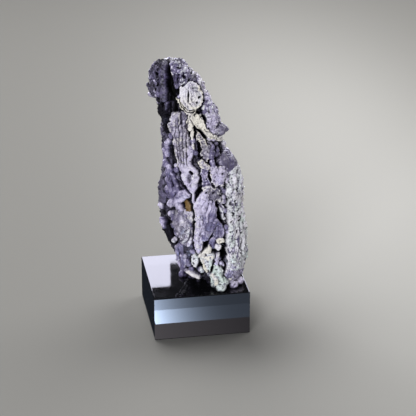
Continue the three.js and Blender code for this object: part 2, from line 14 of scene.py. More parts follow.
import bpy
import numpy as np
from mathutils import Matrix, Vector


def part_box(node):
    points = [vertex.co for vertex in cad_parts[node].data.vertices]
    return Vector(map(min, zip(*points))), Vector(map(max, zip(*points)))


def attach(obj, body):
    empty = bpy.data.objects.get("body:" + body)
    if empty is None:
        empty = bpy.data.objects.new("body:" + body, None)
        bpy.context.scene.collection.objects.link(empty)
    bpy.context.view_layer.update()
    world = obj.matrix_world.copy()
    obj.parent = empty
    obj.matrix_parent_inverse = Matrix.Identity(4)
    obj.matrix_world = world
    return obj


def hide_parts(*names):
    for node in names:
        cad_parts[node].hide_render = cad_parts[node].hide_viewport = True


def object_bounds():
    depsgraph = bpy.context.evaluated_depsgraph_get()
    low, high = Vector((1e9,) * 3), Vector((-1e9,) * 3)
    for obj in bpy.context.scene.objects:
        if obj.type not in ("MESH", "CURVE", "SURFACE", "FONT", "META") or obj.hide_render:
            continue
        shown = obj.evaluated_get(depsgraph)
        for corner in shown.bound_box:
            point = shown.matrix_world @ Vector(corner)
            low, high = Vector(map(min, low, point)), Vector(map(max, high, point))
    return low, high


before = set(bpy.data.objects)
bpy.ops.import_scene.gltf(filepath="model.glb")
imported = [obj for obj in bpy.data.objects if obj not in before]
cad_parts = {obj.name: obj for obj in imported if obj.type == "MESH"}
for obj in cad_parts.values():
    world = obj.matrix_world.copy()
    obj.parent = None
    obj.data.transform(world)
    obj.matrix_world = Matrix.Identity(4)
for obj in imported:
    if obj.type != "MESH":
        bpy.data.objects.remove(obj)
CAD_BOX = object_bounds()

log = logging.getLogger("grape_agate")
Array = np.ndarray

MM = 0.001
CLUSTER = "grape_agate_cluster"
BLOCK = "display_base"
BODY = "root"
BLOCK_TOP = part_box(BLOCK)[1][2] / MM
FACE_TURN = math.radians(9.6)  # show face, about Z, from the block's front


class Side(Enum):
    """Side of the trunk that a growth is on: the sign of its order in depth."""

    NEAR = 1
    FAR = -1


@dataclass(frozen=True)
class Tone:
    """Finish of a patch of agate, each value 0 to 1 unless said.

    crust is how far pale crust covers the stone, warm runs from mint (-1) to cream (1), stain is iron stain, violet
    is how far the stone is violet and not grey, and light is how light the stone is.
    """

    crust: float
    warm: float
    stain: float
    violet: float
    light: float

    def row(self) -> Array:
        """The five values as an array."""
        return np.array([self.crust, self.warm, self.stain, self.violet, self.light])


CRUST, WARM, STAIN, TINT, LIGHT = range(5)  # columns of a table of tones


class Hue(Enum):
    """Named finishes of the stone."""

    # This near-black tone is painted shade: it darkens clefts, pits, recesses and the bare ground between the near
    # side's plates.
    DEEP = Tone(0.0, 0.0, 0.0, 0.5, 0.04)
    DUSK = Tone(0.03, 0.05, 0.0, 0.7, 0.235)
    PLUM = Tone(0.02, 0.35, 0.0, 0.7, 0.3)
    WINE = Tone(0.08, 0.35, 0.0, 0.75, 0.44)
    VIOLET = Tone(0.1, 0.0, 0.0, 1.0, 0.52)
    MAUVE = Tone(0.14, 0.1, 0.0, 0.85, 0.69)
    LILAC = Tone(0.26, 0.1, 0.0, 0.78, 0.88)
    GREY = Tone(0.27, 0.3, 0.05, 0.4, 0.63)
    ASH = Tone(0.3, 0.6, 0.05, 0.25, 0.68)
    PALE = Tone(0.62, 0.12, 0.0, 0.55, 0.82)
    CREAM = Tone(0.78, 0.65, 0.01, 0.2, 0.82)
    CHALK = Tone(0.68, -0.16, 0.0, 0.55, 0.94)
    MINT = Tone(0.62, -0.58, 0.0, 0.42, 0.5)
    RUST = Tone(0.0, 1.0, 1.0, 0.1, 0.4)
    BARK = Tone(0.0, 0.8, 0.38, 0.1, 0.16)
    BLOOM = Tone(0.32, -0.12, 0.0, 0.95, 0.7)
    FROST = Tone(0.28, -0.1, 0.0, 0.65, 0.49)
    SAGE = Tone(0.57, -0.25, 0.0, 0.4, 0.48)


@dataclass(frozen=True)
class Cleft:
    """A cleft, by its course over the face (s and h of each mark in turn), its half width and its depth."""

    course: tuple
    half_width: float
    depth: float
    side: Side = Side.NEAR


@dataclass(frozen=True)
class Rib:
    """A rib, lobe or ridge: course (s and h of each mark in turn), radii at both ends, depth of its middle line,
    finish, roughness, and pitch of its beads if it has any."""

    course: tuple
    start: float
    end: float
    sink: float
    hue: Hue
    rough: float = 0.5
    bead: float = 0.0
    side: Side = Side.NEAR


@dataclass(frozen=True)
class Plate:
    """A plate, flap or block that lies over the stone: outline on the face (s and h of each corner in turn), height of
    its edge over the smooth trunk, extra height of its middle, finish, roughness, height of a rim along its edge, and
    depth of the groove round it."""

    outline: tuple
    edge: float
    crown: float
    hue: Hue
    rough: float = 0.5
    rim: float = 0.0
    groove: float = 0.5


@dataclass(frozen=True)
class Flutes:
    """Upright flutes over a patch of the face: its top and foot, each as from s, to s and h, the number of flutes,
    their depth, and the finish of the lines between them."""

    top: tuple
    foot: tuple
    count: float
    depth: float
    hue: Hue


@dataclass(frozen=True)
class Pit:
    """A hole in the face, painted near black as shade: middle, half sizes and depth."""

    s: float
    h: float
    across: float
    high: float
    depth: float = 5.0


@dataclass(frozen=True)
class Zone:
    """A patch of one finish on the face: middle, half sizes and finish."""

    s: float
    h: float
    across: float
    high: float
    hue: Hue
    rough: float = 0.5


# Short names for the tables.
(DEEP, DUSK, PLUM, WINE, VIOLET, MAUVE, LILAC, GREY, ASH,
 PALE, CREAM, CHALK, MINT, RUST, BARK, BLOOM, FROST, SAGE) = Hue
NEAR, FAR = Side


def table_of(kind: type, *rows: tuple) -> tuple:
    """One item of a kind for each row."""
    return tuple(kind(*row) for row in rows)


# Trunk sections: height, centre across, half width across, centre depth, half thickness.
TRUNK_SECTIONS = (
    (-6, 13, 12, -6, 7), (0, 13, 16, -7.5, 10), (4, 13.5, 19.5, -8.5, 15), (12, 13.5, 23.5, -8, 19),
    (24, 10.5, 27.5, -7, 22), (36, 7.5, 30.5, -6, 24), (48, 5.5, 32, -5, 25), (60, 5, 31, -4, 25),
    (72, 5, 29.5, -4, 24), (84, 5, 29.5, -4, 23), (96, 5, 28, -4, 22), (106, 4.5, 25.5, -4, 20),
    (113, 0.5, 22.5, -3.5, 19), (120, -1, 21.5, -3, 18), (132, -2.5, 22, -3, 17), (144, -5.5, 22, -2, 16),
    (156, -12, 20, -1, 14.5), (168, -15.5, 18, 0, 12), (176, -17, 13.5, 0, 9), (181, -17.5, 8, 0, 5.5),
    (183, -17.5, 3, 0, 2),
)

# Each row below gives the fields of its class in their order. The near side's clefts, ribs, flutes, plates, pits and
# zones are marked on a flat layout, which laid() carries on to the trunk. The far side's are marked on the trunk.
CLEFTS = table_of(Cleft,
    ((-19.3, 181, -18, 170, -16, 160, -15, 148), 2.4, 5), ((-17, 158, -18, 149, -21, 138, -22, 126), 3, 4),
    ((-20, 134, -17.5, 122, -16.5, 108, -12.5, 94, -5, 86), 1.1, 6),
    ((-4, 86, -2.6, 76, -2, 66, -2.2, 52, -2, 42, 2, 37), 0.9, 6), ((2, 128, 1.6, 121, 0.6, 110), 0.9, 4),
    ((2.6, 106, 3, 100, 3.8, 95), 0.8, 6), ((9.3, 106, 9.8, 100, 11.8, 95), 0.9, 6),
    ((8.6, 50, 6.4, 46.5, 4, 41.5), 1.0, 6), ((5, 134, 9, 130, 14, 126, 17.5, 120), 0.9, 6),
    ((13.6, 124, 14.6, 117, 15.6, 109), 1.9, 6),
    ((19.8, 100, 20.8, 92, 20.4, 86, 21.6, 80, 21.4, 70, 22.2, 64, 21, 56, 21, 46), 1.0, 7),
    ((16, 78, 16.8, 70, 20, 62), 1.2, 5), ((-28, 62, -23, 56, -19.5, 48, -16, 38), 2.4, 5),
    ((1.8, 36, 2.4, 28, 4, 18), 1.1, 6), ((13.6, 34, 11.6, 27, 8.6, 21), 1.2, 7),
    ((20.5, 34, 21.4, 28, 20, 20), 1.1, 7), ((8.6, 26, 9.6, 18, 12, 9), 0.9, 5), ((26, 22, 27.4, 14, 26, 7), 0.7, 4),
    ((-22, 162, -16, 140, -14, 118), 2.6, 7, FAR), ((8, 152, 2, 128, 4, 104, -2, 82), 2.5, 7, FAR),
    ((24, 112, 20, 90, 24, 66, 18, 44), 2.7, 7, FAR), ((-14, 92, -12, 70, -16, 52, -10, 34), 2.6, 7, FAR),
    ((6, 62, 4, 40, 8, 18), 2.4, 6, FAR),
)

# The near-black ribs on the crown's left are painted shade.
CROWN_RIBS = table_of(Rib,
    ((-23, 182, -23, 168, -23.2, 157), 3.4, 2.8, 0.9, PLUM, 0.08),
    ((-21, 152, -20.8, 142), 1.7, 1.5, 1.8, DUSK, 0.15),
    ((-18, 174, -18.3, 160, -17.6, 147), 1.3, 1.2, 4.4, DUSK, 0.4),
    ((-14.6, 163, -15, 150), 1.5, 1.3, 5, DEEP, 0.3),
    ((-27, 154, -25, 140, -23, 126), 2.1, 1.8, 1.5, DEEP, 0.3),
    ((-14.6, 176.5, -12.6, 170), 1.6, 1.4, -0.6, DUSK, 0.4),
    ((-8, 180, -3, 176.5, 1, 173), 1.3, 1.5, 0.8, VIOLET, 0.8),
    ((1, 175, 5, 166, 8.5, 158, 13, 149), 2.3, 2.3, 0, BLOOM, 1.0, 5.5),
    ((-19.6, 121, -21.6, 115, -20.8, 109.6), 1.8, 1.9, 0, MAUVE, 0.2),
    ((-23, 110, -22.4, 104, -18.6, 98), 1.8, 2.4, 0.1, VIOLET, 0.2),
    ((-18.4, 152, -18, 142, -17, 133), 1.6, 1.4, 3.4, DUSK, 0.3),
    ((-22.6, 148, -22.4, 138, -21.6, 128), 1.5, 1.3, 1.4, DEEP, 0.4),
)
STRAND_RIBS = table_of(Rib,
    ((-2.4, 127, -2.8, 119), 1.7, 1.7, 0.6, VIOLET, 0.3), ((-3.6, 119, -6, 111), 2, 2, 0.6, LILAC, 0.3),
    ((11.5, 122, 10.6, 114, 12.5, 109), 2, 1.8, 0.2, VIOLET, 0.15),
)
MIDDLE_RIBS = table_of(Rib,
    ((-10.4, 106, -8.4, 98, -4.6, 89), 2.5, 2.2, 0.6, LILAC, 0.3),
    ((-9, 111, -4.6, 107, -0.4, 102, -0.6, 95, -3, 88), 2.3, 2.3, 0.6, LILAC, 0.3),
    ((-1.8, 100, -2.4, 92), 1.0, 0.9, -0.6, PALE, 0.4), ((-2.4, 87.5, -1.6, 79), 1.3, 1.1, 0, LILAC, 0.2),
    ((-24, 96, -23.5, 86, -24, 77), 1.9, 1.9, 0.6, DUSK, 0.2),
    ((-20.5, 97, -18.7, 90, -17.5, 82), 2.4, 2.4, 0.2, VIOLET, 0.2),
    ((-17, 96, -14.2, 89, -12, 83), 1.8, 1.8, 0.2, VIOLET, 0.2),
    ((-14.3, 101, -12, 94, -9, 88), 1.4, 1.3, 0.4, DUSK, 0.2), ((-15, 86, -17, 78), 2, 1.9, 0.2, VIOLET, 0.2),
    ((-7, 85, -12, 80, -17.6, 73.5), 3.6, 3.1, 0.2, MAUVE, 0.15),
    ((-13.6, 76.5, -11, 71), 2.6, 2.2, -0.2, MAUVE, 0.15),
)
LOWER_RIBS = table_of(Rib,
    ((-25.4, 73, -26, 64), 1.7, 2.2, 0.4, MAUVE, 0.4), ((-26, 56.4, -24.4, 51.6), 1.4, 1.2, 0.5, VIOLET, 0.3),
    ((24, 62, 25, 48, 26.3, 34), 2.3, 2.2, -0.6, MINT, 0.9),
    ((28.8, 50, 28.6, 36), 1.8, 1.7, -0.7, VIOLET, 0.4),
    ((30, 98, 31, 84, 31.6, 70, 33, 56), 2.6, 2.6, -0.2, PALE, 1.0),
    ((25.5, 100, 26, 88, 25.5, 76), 2.2, 2, -0.7, PALE, 1.0),
    ((34, 52, 34.6, 40, 34, 28), 2.4, 2.3, -0.4, MINT, 0.9),
    ((-11.5, 42, -9.6, 32, -10, 20), 2.4, 2.3, 0.2, VIOLET, 0.2),
    ((-5.5, 21.5, -1, 18.5, 2, 16.5), 2, 1.6, -0.8, PALE, 0.15), ((15, 38, 15.3, 29), 1.7, 1.6, 0, LILAC, 0.4),
    ((-14, 40, -13, 31), 1.8, 1.6, 0, VIOLET, 0.3), ((-8, 36, -8.6, 26), 1.7, 1.5, 0, MAUVE, 0.3),
    ((-12.6, 24, -9, 20.5), 1.6, 1.7, 0, MAUVE, 0.3),
)
BACK_RIBS = table_of(Rib,
    ((-20, 178, -25, 162, -27, 147), 4.6, 4, 2, DUSK, 0.4, 0, FAR),
    ((-9, 180, -11, 160, -8, 138), 5.4, 4.8, 2.6, VIOLET, 0.4, 0, FAR),
    ((2, 168, 9, 150, 12, 133), 4.4, 5, 2, LILAC, 0.7, 0, FAR),
    ((-21, 136, -22, 118, -20, 101), 4.4, 4.6, 2, DUSK, 0.5, 0, FAR),
    ((-5, 130, -8, 112, -6, 93), 5.4, 4.8, 2.6, LILAC, 0.5, 0, FAR),
    ((14, 126, 14, 108, 11, 86), 5.6, 5, 2.8, PALE, 0.9, 0, FAR),
    ((25, 98, 29, 78, 26, 57), 5, 5, 2, MINT, 1.0, 0, FAR),
    ((-22, 84, -25, 66, -22, 46), 5, 4.4, 2, DUSK, 0.3, 0, FAR),
    ((-3, 76, -5, 57, -2, 38), 5.5, 4.6, 2.6, LILAC, 0.5, 0, FAR),
    ((12, 76, 14, 55, 13, 33), 5.6, 5, 2.8, LILAC, 0.8, 0, FAR),
    ((28, 48, 29, 30, 26, 12), 5, 4.6, 2.4, PALE, 0.9, 0, FAR),
    ((-10, 28, -4, 14, -3, 4), 4.4, 4, 1.6, VIOLET, 0.5, 0, FAR),
    ((15, 24, 13, 6), 5, 4.6, 2, PALE, 0.9, 0, FAR),
)
FOLD_RIBS = table_of(Rib,  # these lie over the upper plates
    ((6, 88, 4, 80, 1.4, 72), 2.0, 1.8, -1.7, LILAC, 0.3),
    ((1.6, 73, 2, 60, 2.2, 47), 1.5, 1.4, -2.3, LILAC, 0.7),
    ((5.6, 76, 6.6, 67, 5, 57), 1.4, 1.2, -1.9, MAUVE, 0.4),
    ((13.4, 79, 12, 70, 9, 61), 2.0, 1.7, -1.1, VIOLET, 0.3),
    ((14.4, 67, 11.4, 60, 8, 53), 1.7, 1.4, -0.9, VIOLET, 0.3),
    ((10.4, 81, 8.6, 73, 7.6, 66), 1.2, 1.0, -1.9, LILAC, 0.2),
    ((-9.2, 168.4, -9.2, 161, -6.4, 153.6), 1.1, 1.0, -1.9, PALE, 0.2),
    ((-6.6, 169, -7, 162, -4.4, 155), 1.0, 0.9, -2.3, PALE, 0.2),
    ((-3, 170.6, -3.4, 162, -2, 156, -0.4, 152.4), 0.9, 0.8, -2.6, PALE, 0.5),
    ((0.6, 171, 2.6, 165, 4.4, 158.6, 3.2, 153.4, 0.4, 151.2, -2.6, 151.6), 0.9, 0.8, -2.6, CREAM, 0.8),
    ((-17, 66, -15, 58, -14.6, 51), 1.8, 1.5, -0.4, VIOLET, 0.4),
    ((-13.6, 67, -12.4, 60, -13, 54), 1.5, 1.4, -0.6, GREY, 0.6),
    ((-9, 46, -6.6, 52, -5.4, 60), 1.5, 1.3, -0.6, FROST, 0.6), ((-6, 44, -3.8, 50), 1.3, 1.2, 0.2, LILAC, 0.6),
    ((4, 40, 7, 38.4, 11, 38), 1.4, 1.2, -2.4, CREAM, 0.7),
    ((5, 36, 5.6, 30, 7.6, 26), 1.5, 1.3, -2.2, CREAM, 0.7),
    ((10.6, 36, 10.6, 31, 9.4, 27), 1.4, 1.2, -2.2, MINT, 0.7),
    ((12, 22, 14.6, 16, 15, 9), 1.6, 1.5, -1.4, CREAM, 0.7),
    ((17, 27, 18, 20, 18.6, 12), 1.6, 1.6, -1.4, MINT, 0.7),
)
FLUTES = table_of(Flutes,
    ((-17, -3.2, 144), (-13.4, -5.5, 104), 4, 1.4, BARK), ((21.6, 34, 107), (22.2, 38, 22), 3, 0.35, FROST),
    ((-27, -15, 99), (-27, -21, 78), 4, 1.0, DUSK),
)
# Plates of the near side, the lower ones first.
CROWN_PLATES = table_of(Plate,
    ((-38, 178, -30, 187, -26, 184, -26.5, 160, -29, 153, -38, 150), -0.2, 0.5, DUSK, 0.9),
    ((-9, 183, -3, 178, 1, 174.6, 3, 171, 6, 166, 8.5, 157, 7, 151, 12, 147, 17, 143, 20, 138, 25, 132, 28, 142,
     22, 154, 14, 166, 6, 178, -4, 186), 0, 1.3, BLOOM, 0.9),
    ((-19.2, 180, -17, 185, -10, 184, -3, 180, 1, 176.5, 3.6, 173, -1, 173.4, -4, 174.5, -7, 172.5, -10.5, 170,
     -13.5, 170.5, -16.6, 177), 0.4, 1.4, FROST, 1.0),
    ((-19, 182.5, -17, 185, -14, 185, -13.6, 182.6, -15.6, 180.4, -18.4, 180), 1.0, 0.8, MAUVE, 0.7),
    ((-10.8, 148, -4, 148.5, -3.5, 141, -5, 136, -6, 131, -11, 131, -10.5, 141), -0.6, 0.8, GREY, 0.3),
    ((-13.8, 147, -11.3, 147.5, -9.8, 142.5, -11.6, 136.5, -11.8, 128.5, -14.8, 128.5, -18, 132.5, -19.3, 135.5,
     -17.2, 139.5, -16.3, 144.5), 1.0, 0.5, GREY, 0.5, 0.3, 0.4),
    ((-16, 134, -11, 139, -5, 139, -3.6, 133, -3.4, 122, -4.4, 112, -6.5, 106, -13, 103.5, -15, 112, -16.2, 122), 0.2,
     1.0, ASH, 0.5, 0, 0.1),
    ((9, 148, 14, 147, 18, 143.5, 21, 138, 24.5, 135.5, 27, 133.5, 26, 127, 24, 120, 20.5, 119, 17, 125, 13, 130,
     9.5, 135, 7, 140), 0.4, 1.3, LILAC, 1.0),
    ((1.5, 136, 3.5, 134, 5, 130, 8, 127, 8, 123, 5.5, 121, 3.8, 122, 3, 125, 1, 129), 0.6, 0.9, ASH, 0.8, 0.3),
    ((8.5, 128, 12, 126, 15, 122.5, 17, 119, 15, 113, 11, 114, 9, 119), -0.8, 1.0, GREY, 0.6),
    ((-2.9, 138, -1, 138, -0.8, 128, -1.2, 120, -2.9, 121), 0.9, 0.4, CREAM, 0.4),
    ((-5.4, 143, -2, 147, 1.5, 143, 1, 139, -1, 137.5, -3, 135, -5.8, 137), 1.3, 0.4, CREAM, 0.9, 0.5),
    ((-2, 146.4, 0.6, 145.4, 3, 146.6, 4.8, 143.4, 7.8, 140.2, 9.6, 136.4, 12.8, 133.2, 15.8, 130.2, 19.4, 126.4,
     22, 122.4, 20, 121, 17, 124, 13, 127.5, 9, 131, 6, 134.5, 3, 137.5, 0, 140.5, -1.5, 143), 2.0, 0.4, CREAM, 0.9,
     0.6, 0.9),
)
ROSETTE_PLATES = table_of(Plate,
    ((-6.6, 169.5, -3.8, 172, -1, 169, 1, 165, 3, 158, 3.2, 153, 2.6, 149.6, 1.5, 146.6, -2, 145, -5.9, 146.4,
     -8.8, 148.8, -10.9, 152.5, -12.4, 157, -14, 160.6, -11.4, 160.2, -9.6, 162.5, -9, 166, -8, 168.5), 0.6, 0.4,
     CREAM, 0.8, 0.7, 0.9),
    ((-6.6, 170.5, -3.8, 172.4, -1, 170.5, 1, 166.5, 3.2, 158, 3, 153, 1.8, 149.6, -1.5, 147, -5, 148.2, -7.7, 150.9,
     -9.6, 155.2, -10.4, 159, -9.4, 163, -8.6, 168), 1.5, 0.3, CREAM, 0.75, 0.7, 1.5),
    ((-6.9, 171.8, -4, 174.4, -1, 173.4, 1.4, 168.6, 3.4, 165, 4.6, 161, 5.8, 157, 4.2, 152.6, 1.8, 150.4, -1.5, 149.2,
     -4.6, 150.4, -6.8, 153.2, -8.4, 157, -8.8, 161, -8.6, 168), 2.4, 0.2, PALE, 0.6, 0.6, 1.0),
    ((-6.5, 170.7, -5.5, 171.2, -5.2, 166, -4.8, 160, -3, 155.4, -1.5, 152, -3.6, 152.6, -5.6, 155.4, -7, 159,
     -7.3, 164, -7.3, 168), 2.7, 0.6, PALE, 0.25, 0, 0.05),
    ((-3.5, 170.5, -0.8, 171.3, 1, 167.3, 2.8, 163, 4, 157.5, 2.8, 153.6, 0.6, 151.8, -1, 152.6, -2.3, 156, -3.4, 160,
     -3.9, 165), 2.6, -1.1, SAGE, 0.5, 0.5, 0.4),
)
MIDDLE_PLATES = table_of(Plate,
    ((-27, 127, -20, 127, -19.5, 116, -19, 104, -17, 99, -27, 99), -1.6, 0.8, DUSK, 0.3),
    ((15.6, 93, 20, 93, 19.6, 84, 20.4, 76, 20.2, 66, 18.4, 66, 15.6, 74, 15.4, 82), -0.5, 0.9, FROST, 0.8),
    ((-13, 108, -8, 112, -3, 108.5, 0.6, 104, 2.2, 99, 1, 93, -1.5, 87, -4.6, 86.5, -7, 91, -9.5, 98, -12.4, 103), 0.2,
     0.8, LILAC, 0.3, 0, 0.3),
    ((-1, 131, 2.2, 131, 2.2, 120, 2.6, 108, 2, 104, -2, 104, -4, 110, -1.4, 120), -2.2, 0.8, DUSK, 0.4),
    ((-27, 99, -17, 99, -9.5, 90, -8.5, 84, -16, 76, -28, 73), -1.6, 0.6, VIOLET, 0.25),
    ((5, 124, 9.5, 125, 10, 117, 9, 112, 5.5, 113, 5, 118), 0.2, 0.8, GREY, 0.8, 0.2),
    ((4.2, 121.5, 6.6, 122, 7.4, 118, 6, 115.6, 3.4, 115.6, 2.8, 118), 0.9, 0.5, GREY, 0.8, 0.3),
    ((16.5, 115, 20, 116.5, 25, 115.5, 30, 112.5, 32, 108, 29, 104, 24, 103, 19, 104.6, 16.5, 109), 0.4, 2.2, WINE,
     0.3, 0, 0.3),
    ((2.6, 110, 8, 111, 9.4, 101, 11, 96, 9.6, 92, 5.4, 91, 3.4, 97), -0.2, 1.2, VIOLET, 0.9),
    ((1.2, 112.6, 4, 113.6, 7.6, 112, 10.4, 108.5, 13, 104.5, 11.5, 103, 8.5, 106, 6, 106.6, 2.5, 108), 1.1, 0.5,
     ASH, 1.0, 0.5),
    ((10.5, 108, 15, 109, 20, 107, 22.5, 102, 22.5, 96.5, 20, 93.5, 17, 94.5, 14, 92.5, 12.5, 95.5, 10.6, 99), 1.4, 0.8,
     LILAC, 0.9, 0.4),
    ((5, 93.5, 9, 94, 13, 93, 17, 91.5, 18.5, 87, 17.5, 80, 15, 82.5, 13.5, 79.5, 11, 83, 9, 79, 7, 84, 5, 88.5), 1.2,
     0.7, GREY, 0.9, 0.7),
    ((-10, 80, -7.5, 82, -4.6, 78, -4.2, 71, -7.4, 70, -9, 75), -0.8, 0.6, RUST, 0.5),
)
LOWER_PLATES = table_of(Plate,
    ((-14, 46, -4, 46, -2, 40, -3, 33, -8, 34, -12, 39), -0.8, 0.8, DUSK, 0.6),
    ((-19, 66, -14, 70, -7, 72, -2.6, 70, -1.8, 60, -2, 52, -4, 44, -8, 40, -11, 42, -13.6, 48, -17, 57), -1.4, 1.8,
     GREY, 0.5, 0, 0.3),
    ((14.5, 67, 17, 66, 20, 60, 20.5, 54, 17, 50, 13, 52, 12, 57), 0, 0.8, VIOLET, 0.5),
    ((9.5, 52.5, 13, 54, 16, 50, 15, 44.5, 11, 44, 9, 47.5), 0.4, 0.9, VIOLET, 0.3),
    ((8, 84, 13.3, 82, 14.6, 74, 15, 68, 12.9, 62, 10.5, 55, 8, 51, 3, 48.5, 2, 58, 3, 66, 4, 73, 6, 77), 0.6, 1.9,
     VIOLET, 0.12),
    ((9.5, 79, 12.6, 79.5, 13, 74, 11.5, 66, 9, 59, 7.6, 56, 7.6, 66, 8.6, 73), 1.8, 0.7, MAUVE, 0.1, 0, 0.1),
    ((5.5, 89.5, 7.6, 86, 8.6, 80, 7.4, 74, 6, 68, 5.4, 58, 5, 48, 4, 42, 2, 40, 0, 41.5, -1.2, 50, -0.6, 60, -1.2, 70,
     -1.8, 78, 0.8, 83, 3, 87), 1.5, 1.5, LILAC, 0.35),
    ((13.6, 48.4, 17.5, 47.8, 18, 43.6, 15.5, 42.6, 13.3, 45), 1.4, 0.6, PALE, 0.5),
    ((14, 50.8, 17, 53, 20, 52, 20.5, 48.6, 17.5, 48.4, 15, 48.8), 1.8, 0.6, CREAM, 0.7),
    ((3.8, 42, 7, 44.8, 9.5, 48.5, 11.3, 46, 10.6, 42, 8, 39.6, 5, 39.6), 2.0, 0.6, CREAM, 0.7),
)
COLUMN_PLATES = table_of(Plate,
    ((22, 108, 27, 107.5, 34, 106, 40, 98, 43, 85, 45, 72, 47, 60, 48, 45, 47, 30, 44, 21, 31, 22, 24, 25, 22, 34,
     21.2, 45, 22, 58, 21.4, 68, 22.6, 78, 21.6, 88, 22, 98), 0.8, 1.6, CHALK, 1.0, 0.2),
    ((27, 66, 33, 70, 42, 66, 46, 55, 47, 40, 44, 26, 35.5, 26, 36, 40, 35, 52, 30, 58), 1.6, 1.2, MINT, 1.0, 0.1,
     0.2),
)
FOOT_PLATES = table_of(Plate,
    ((-14, 23, -5, 23, -3.5, 8, -4, -4, -14, -4), -1.4, 0.8, DUSK, 0.3),
    ((-3.8, 36, -1, 39, 2, 38, 1.6, 31, -0.5, 27, -3.2, 29.5), 1.1, 0.8, SAGE, 0.8, 0, 1.0),
    ((2.5, 39.5, 6, 41, 12, 40, 13.6, 36, 12, 31, 10, 25.5, 7, 24.5, 5, 28, 3.4, 33), 1.7, 1.4, SAGE, 0.85, 0.3,
     1.0),
    ((9, 25, 12, 28.5, 16, 30, 19.5, 27, 21, 19, 22, 4, 14, 2, 11.5, 12, 9, 20), 1.0, 1.2, MINT, 1.0, 0.3, 1.0),
    ((19.5, 30, 23, 33, 28, 35, 35, 33, 41, 26, 40, 10, 34, 4, 27, 5, 23, 14, 20.5, 23), 0.6, 0.9, MAUVE, 0.8),
)
PITS = table_of(Pit,
    (-11.4, 181.5, 1.7, 0.8, 2.5), (-7.4, 176.4, 1.2, 1.4, 2.5), (-2.6, 178, 1.4, 0.8, 2.5), (-3.4, 175.2, 1, 0.8, 2),
    (-32.6, 159.8, 1, 1.2, 3), (-30.6, 167.6, 0.9, 1, 3), (-34, 166.4, 0.8, 1, 3), (-27.4, 169.6, 0.7, 1.5, 3),
    (-33.4, 173.2, 1.1, 0.9, 3), (-27.8, 176, 1.3, 2.2), (-31.6, 171, 1.3, 1.3), (-28.9, 154, 2, 1.6, 6),
    (-29.4, 164, 0.9, 1.3), (-4.3, 163, 0.5, 3.8, 3.6), (2.9, 159.6, 0.8, 1, 3), (1.4, 155.6, 0.8, 0.7, 3),
    (8, 142.3, 1.5, 3.4, 6), (4.6, 135, 1.4, 1.7, 5), (3.2, 147, 1.6, 0.8, 4), (-4, 101.6, 1.6, 1.7, 5),
    (-5, 97.4, 1.6, 4.6, 1.5), (1.5, 88.6, 1.2, 2.7, 6), (14.6, 79, 1.2, 2.6, 5), (9.2, 113, 0.9, 0.8, 4),
    (6.8, 88.5, 0.8, 1, 3), (19.3, 40, 2.5, 5.5, 8), (28.2, 89, 0.7, 1.8, 4), (28.2, 70.6, 1.2, 1.1, 4),
    (25.4, 68.6, 0.9, 1.6, 5), (30, 62.4, 1.3, 0.9, 4), (24.5, 64, 0.8, 0.8, 4), (27.6, 55.6, 1, 1.3, 5),
    (30.8, 52.5, 1.2, 0.8, 4), (31, 41, 0.7, 6.5, 5), (26, 80, 0.7, 1.5, 4), (31, 78, 0.6, 0.8, 3),
    (-21.4, 68.5, 2, 2, 4), (7.5, 99, 0.7, 0.7, 3), (17.6, 85.5, 0.8, 1, 3), (12.5, 35, 0.9, 1, 4),
    (-1.6, 31, 0.7, 1.2, 4),
)

# Zones of finish on the near side, in the order that they lie over each other. Near-black zones, here and on the far
# side below, are painted shade over dark recesses.
NEAR_ZONES = table_of(Zone,
    (-30, 163, 7, 14, DUSK, 0.8), (-22, 168, 4, 15, PLUM, 0.1), (-17, 160, 4, 22, DEEP, 0.4),
    (-9, 176, 8, 6, FROST, 1.0), (-3, 179, 5, 4, VIOLET, 0.8), (5, 169, 4, 5, BLOOM, 0.9), (11, 157, 5, 6, BLOOM, 0.9),
    (18, 146, 4, 6, BLOOM, 0.9), (-1, 162, 6, 12, CREAM, 0.5), (-22, 140, 7, 17, DEEP, 0.3),
    (-11, 139, 4, 8, GREY, 0.4), (2, 142, 6, 6, CREAM, 0.8), (15, 137, 8, 14, LILAC, 1.0), (-9, 118, 8, 15, GREY, 0.5),
    (5, 124, 5, 9, PALE, 0.8), (1, 112, 3, 6, DUSK, 0.3), (14, 114, 4, 9, DUSK, 0.5), (-21, 110, 6, 19, VIOLET, 0.2),
    (-4, 95, 6, 10, LILAC, 0.2), (8, 105, 5, 4, CREAM, 0.9), (25, 107, 8, 6, PLUM, 0.1), (18, 96, 7, 6, LILAC, 0.7),
    (12, 83, 9, 7, PALE, 0.9), (31, 84, 6, 22, CHALK, 1.0), (31, 45, 9, 34, CHALK, 1.0), (3, 62, 5, 22, LILAC, 0.2),
    (10, 60, 5, 15, LILAC, 0.2), (-18, 84, 9, 10, VIOLET, 0.3), (-11, 75, 6, 5, LILAC, 0.2),
    (-6, 72, 2.4, 5, RUST, 0.3), (-24, 73, 2, 3, RUST, 0.3), (-10, 51, 8, 14, GREY, 0.7), (-23, 47, 5, 14, DEEP, 0.3),
    (-9, 18, 6, 16, VIOLET, 0.3), (8, 25, 7, 9, MINT, 1.0), (7, 37, 4, 4, CREAM, 0.8), (17, 44, 5, 3, PALE, 0.8),
    (21, 33, 3, 7, DEEP, 0.3), (17, 10, 7, 9, MINT, 0.9), (31, 14, 7, 13, LILAC, 0.6), (0, 13, 4, 8, DEEP, 0.3),
)
FAR_ZONES = table_of(Zone,
    (-24, 164, 10, 17, DUSK, 0.5), (-8, 160, 8, 22, VIOLET, 0.5), (8, 150, 9, 20, LILAC, 0.8),
    (-25, 138, 8, 14, DEEP, 0.3), (-20, 112, 9, 18, DUSK, 0.3), (-4, 112, 8, 22, LILAC, 0.6),
    (15, 108, 10, 20, PALE, 0.9), (31, 78, 8, 26, MINT, 1.0), (-25, 62, 9, 26, DUSK, 0.4), (-3, 58, 9, 22, LILAC, 0.5),
    (13, 56, 9, 24, LILAC, 0.8), (30, 32, 9, 24, PALE, 0.9), (-6, 16, 9, 14, VIOLET, 0.4), (14, 14, 9, 14, PALE, 0.9),
)

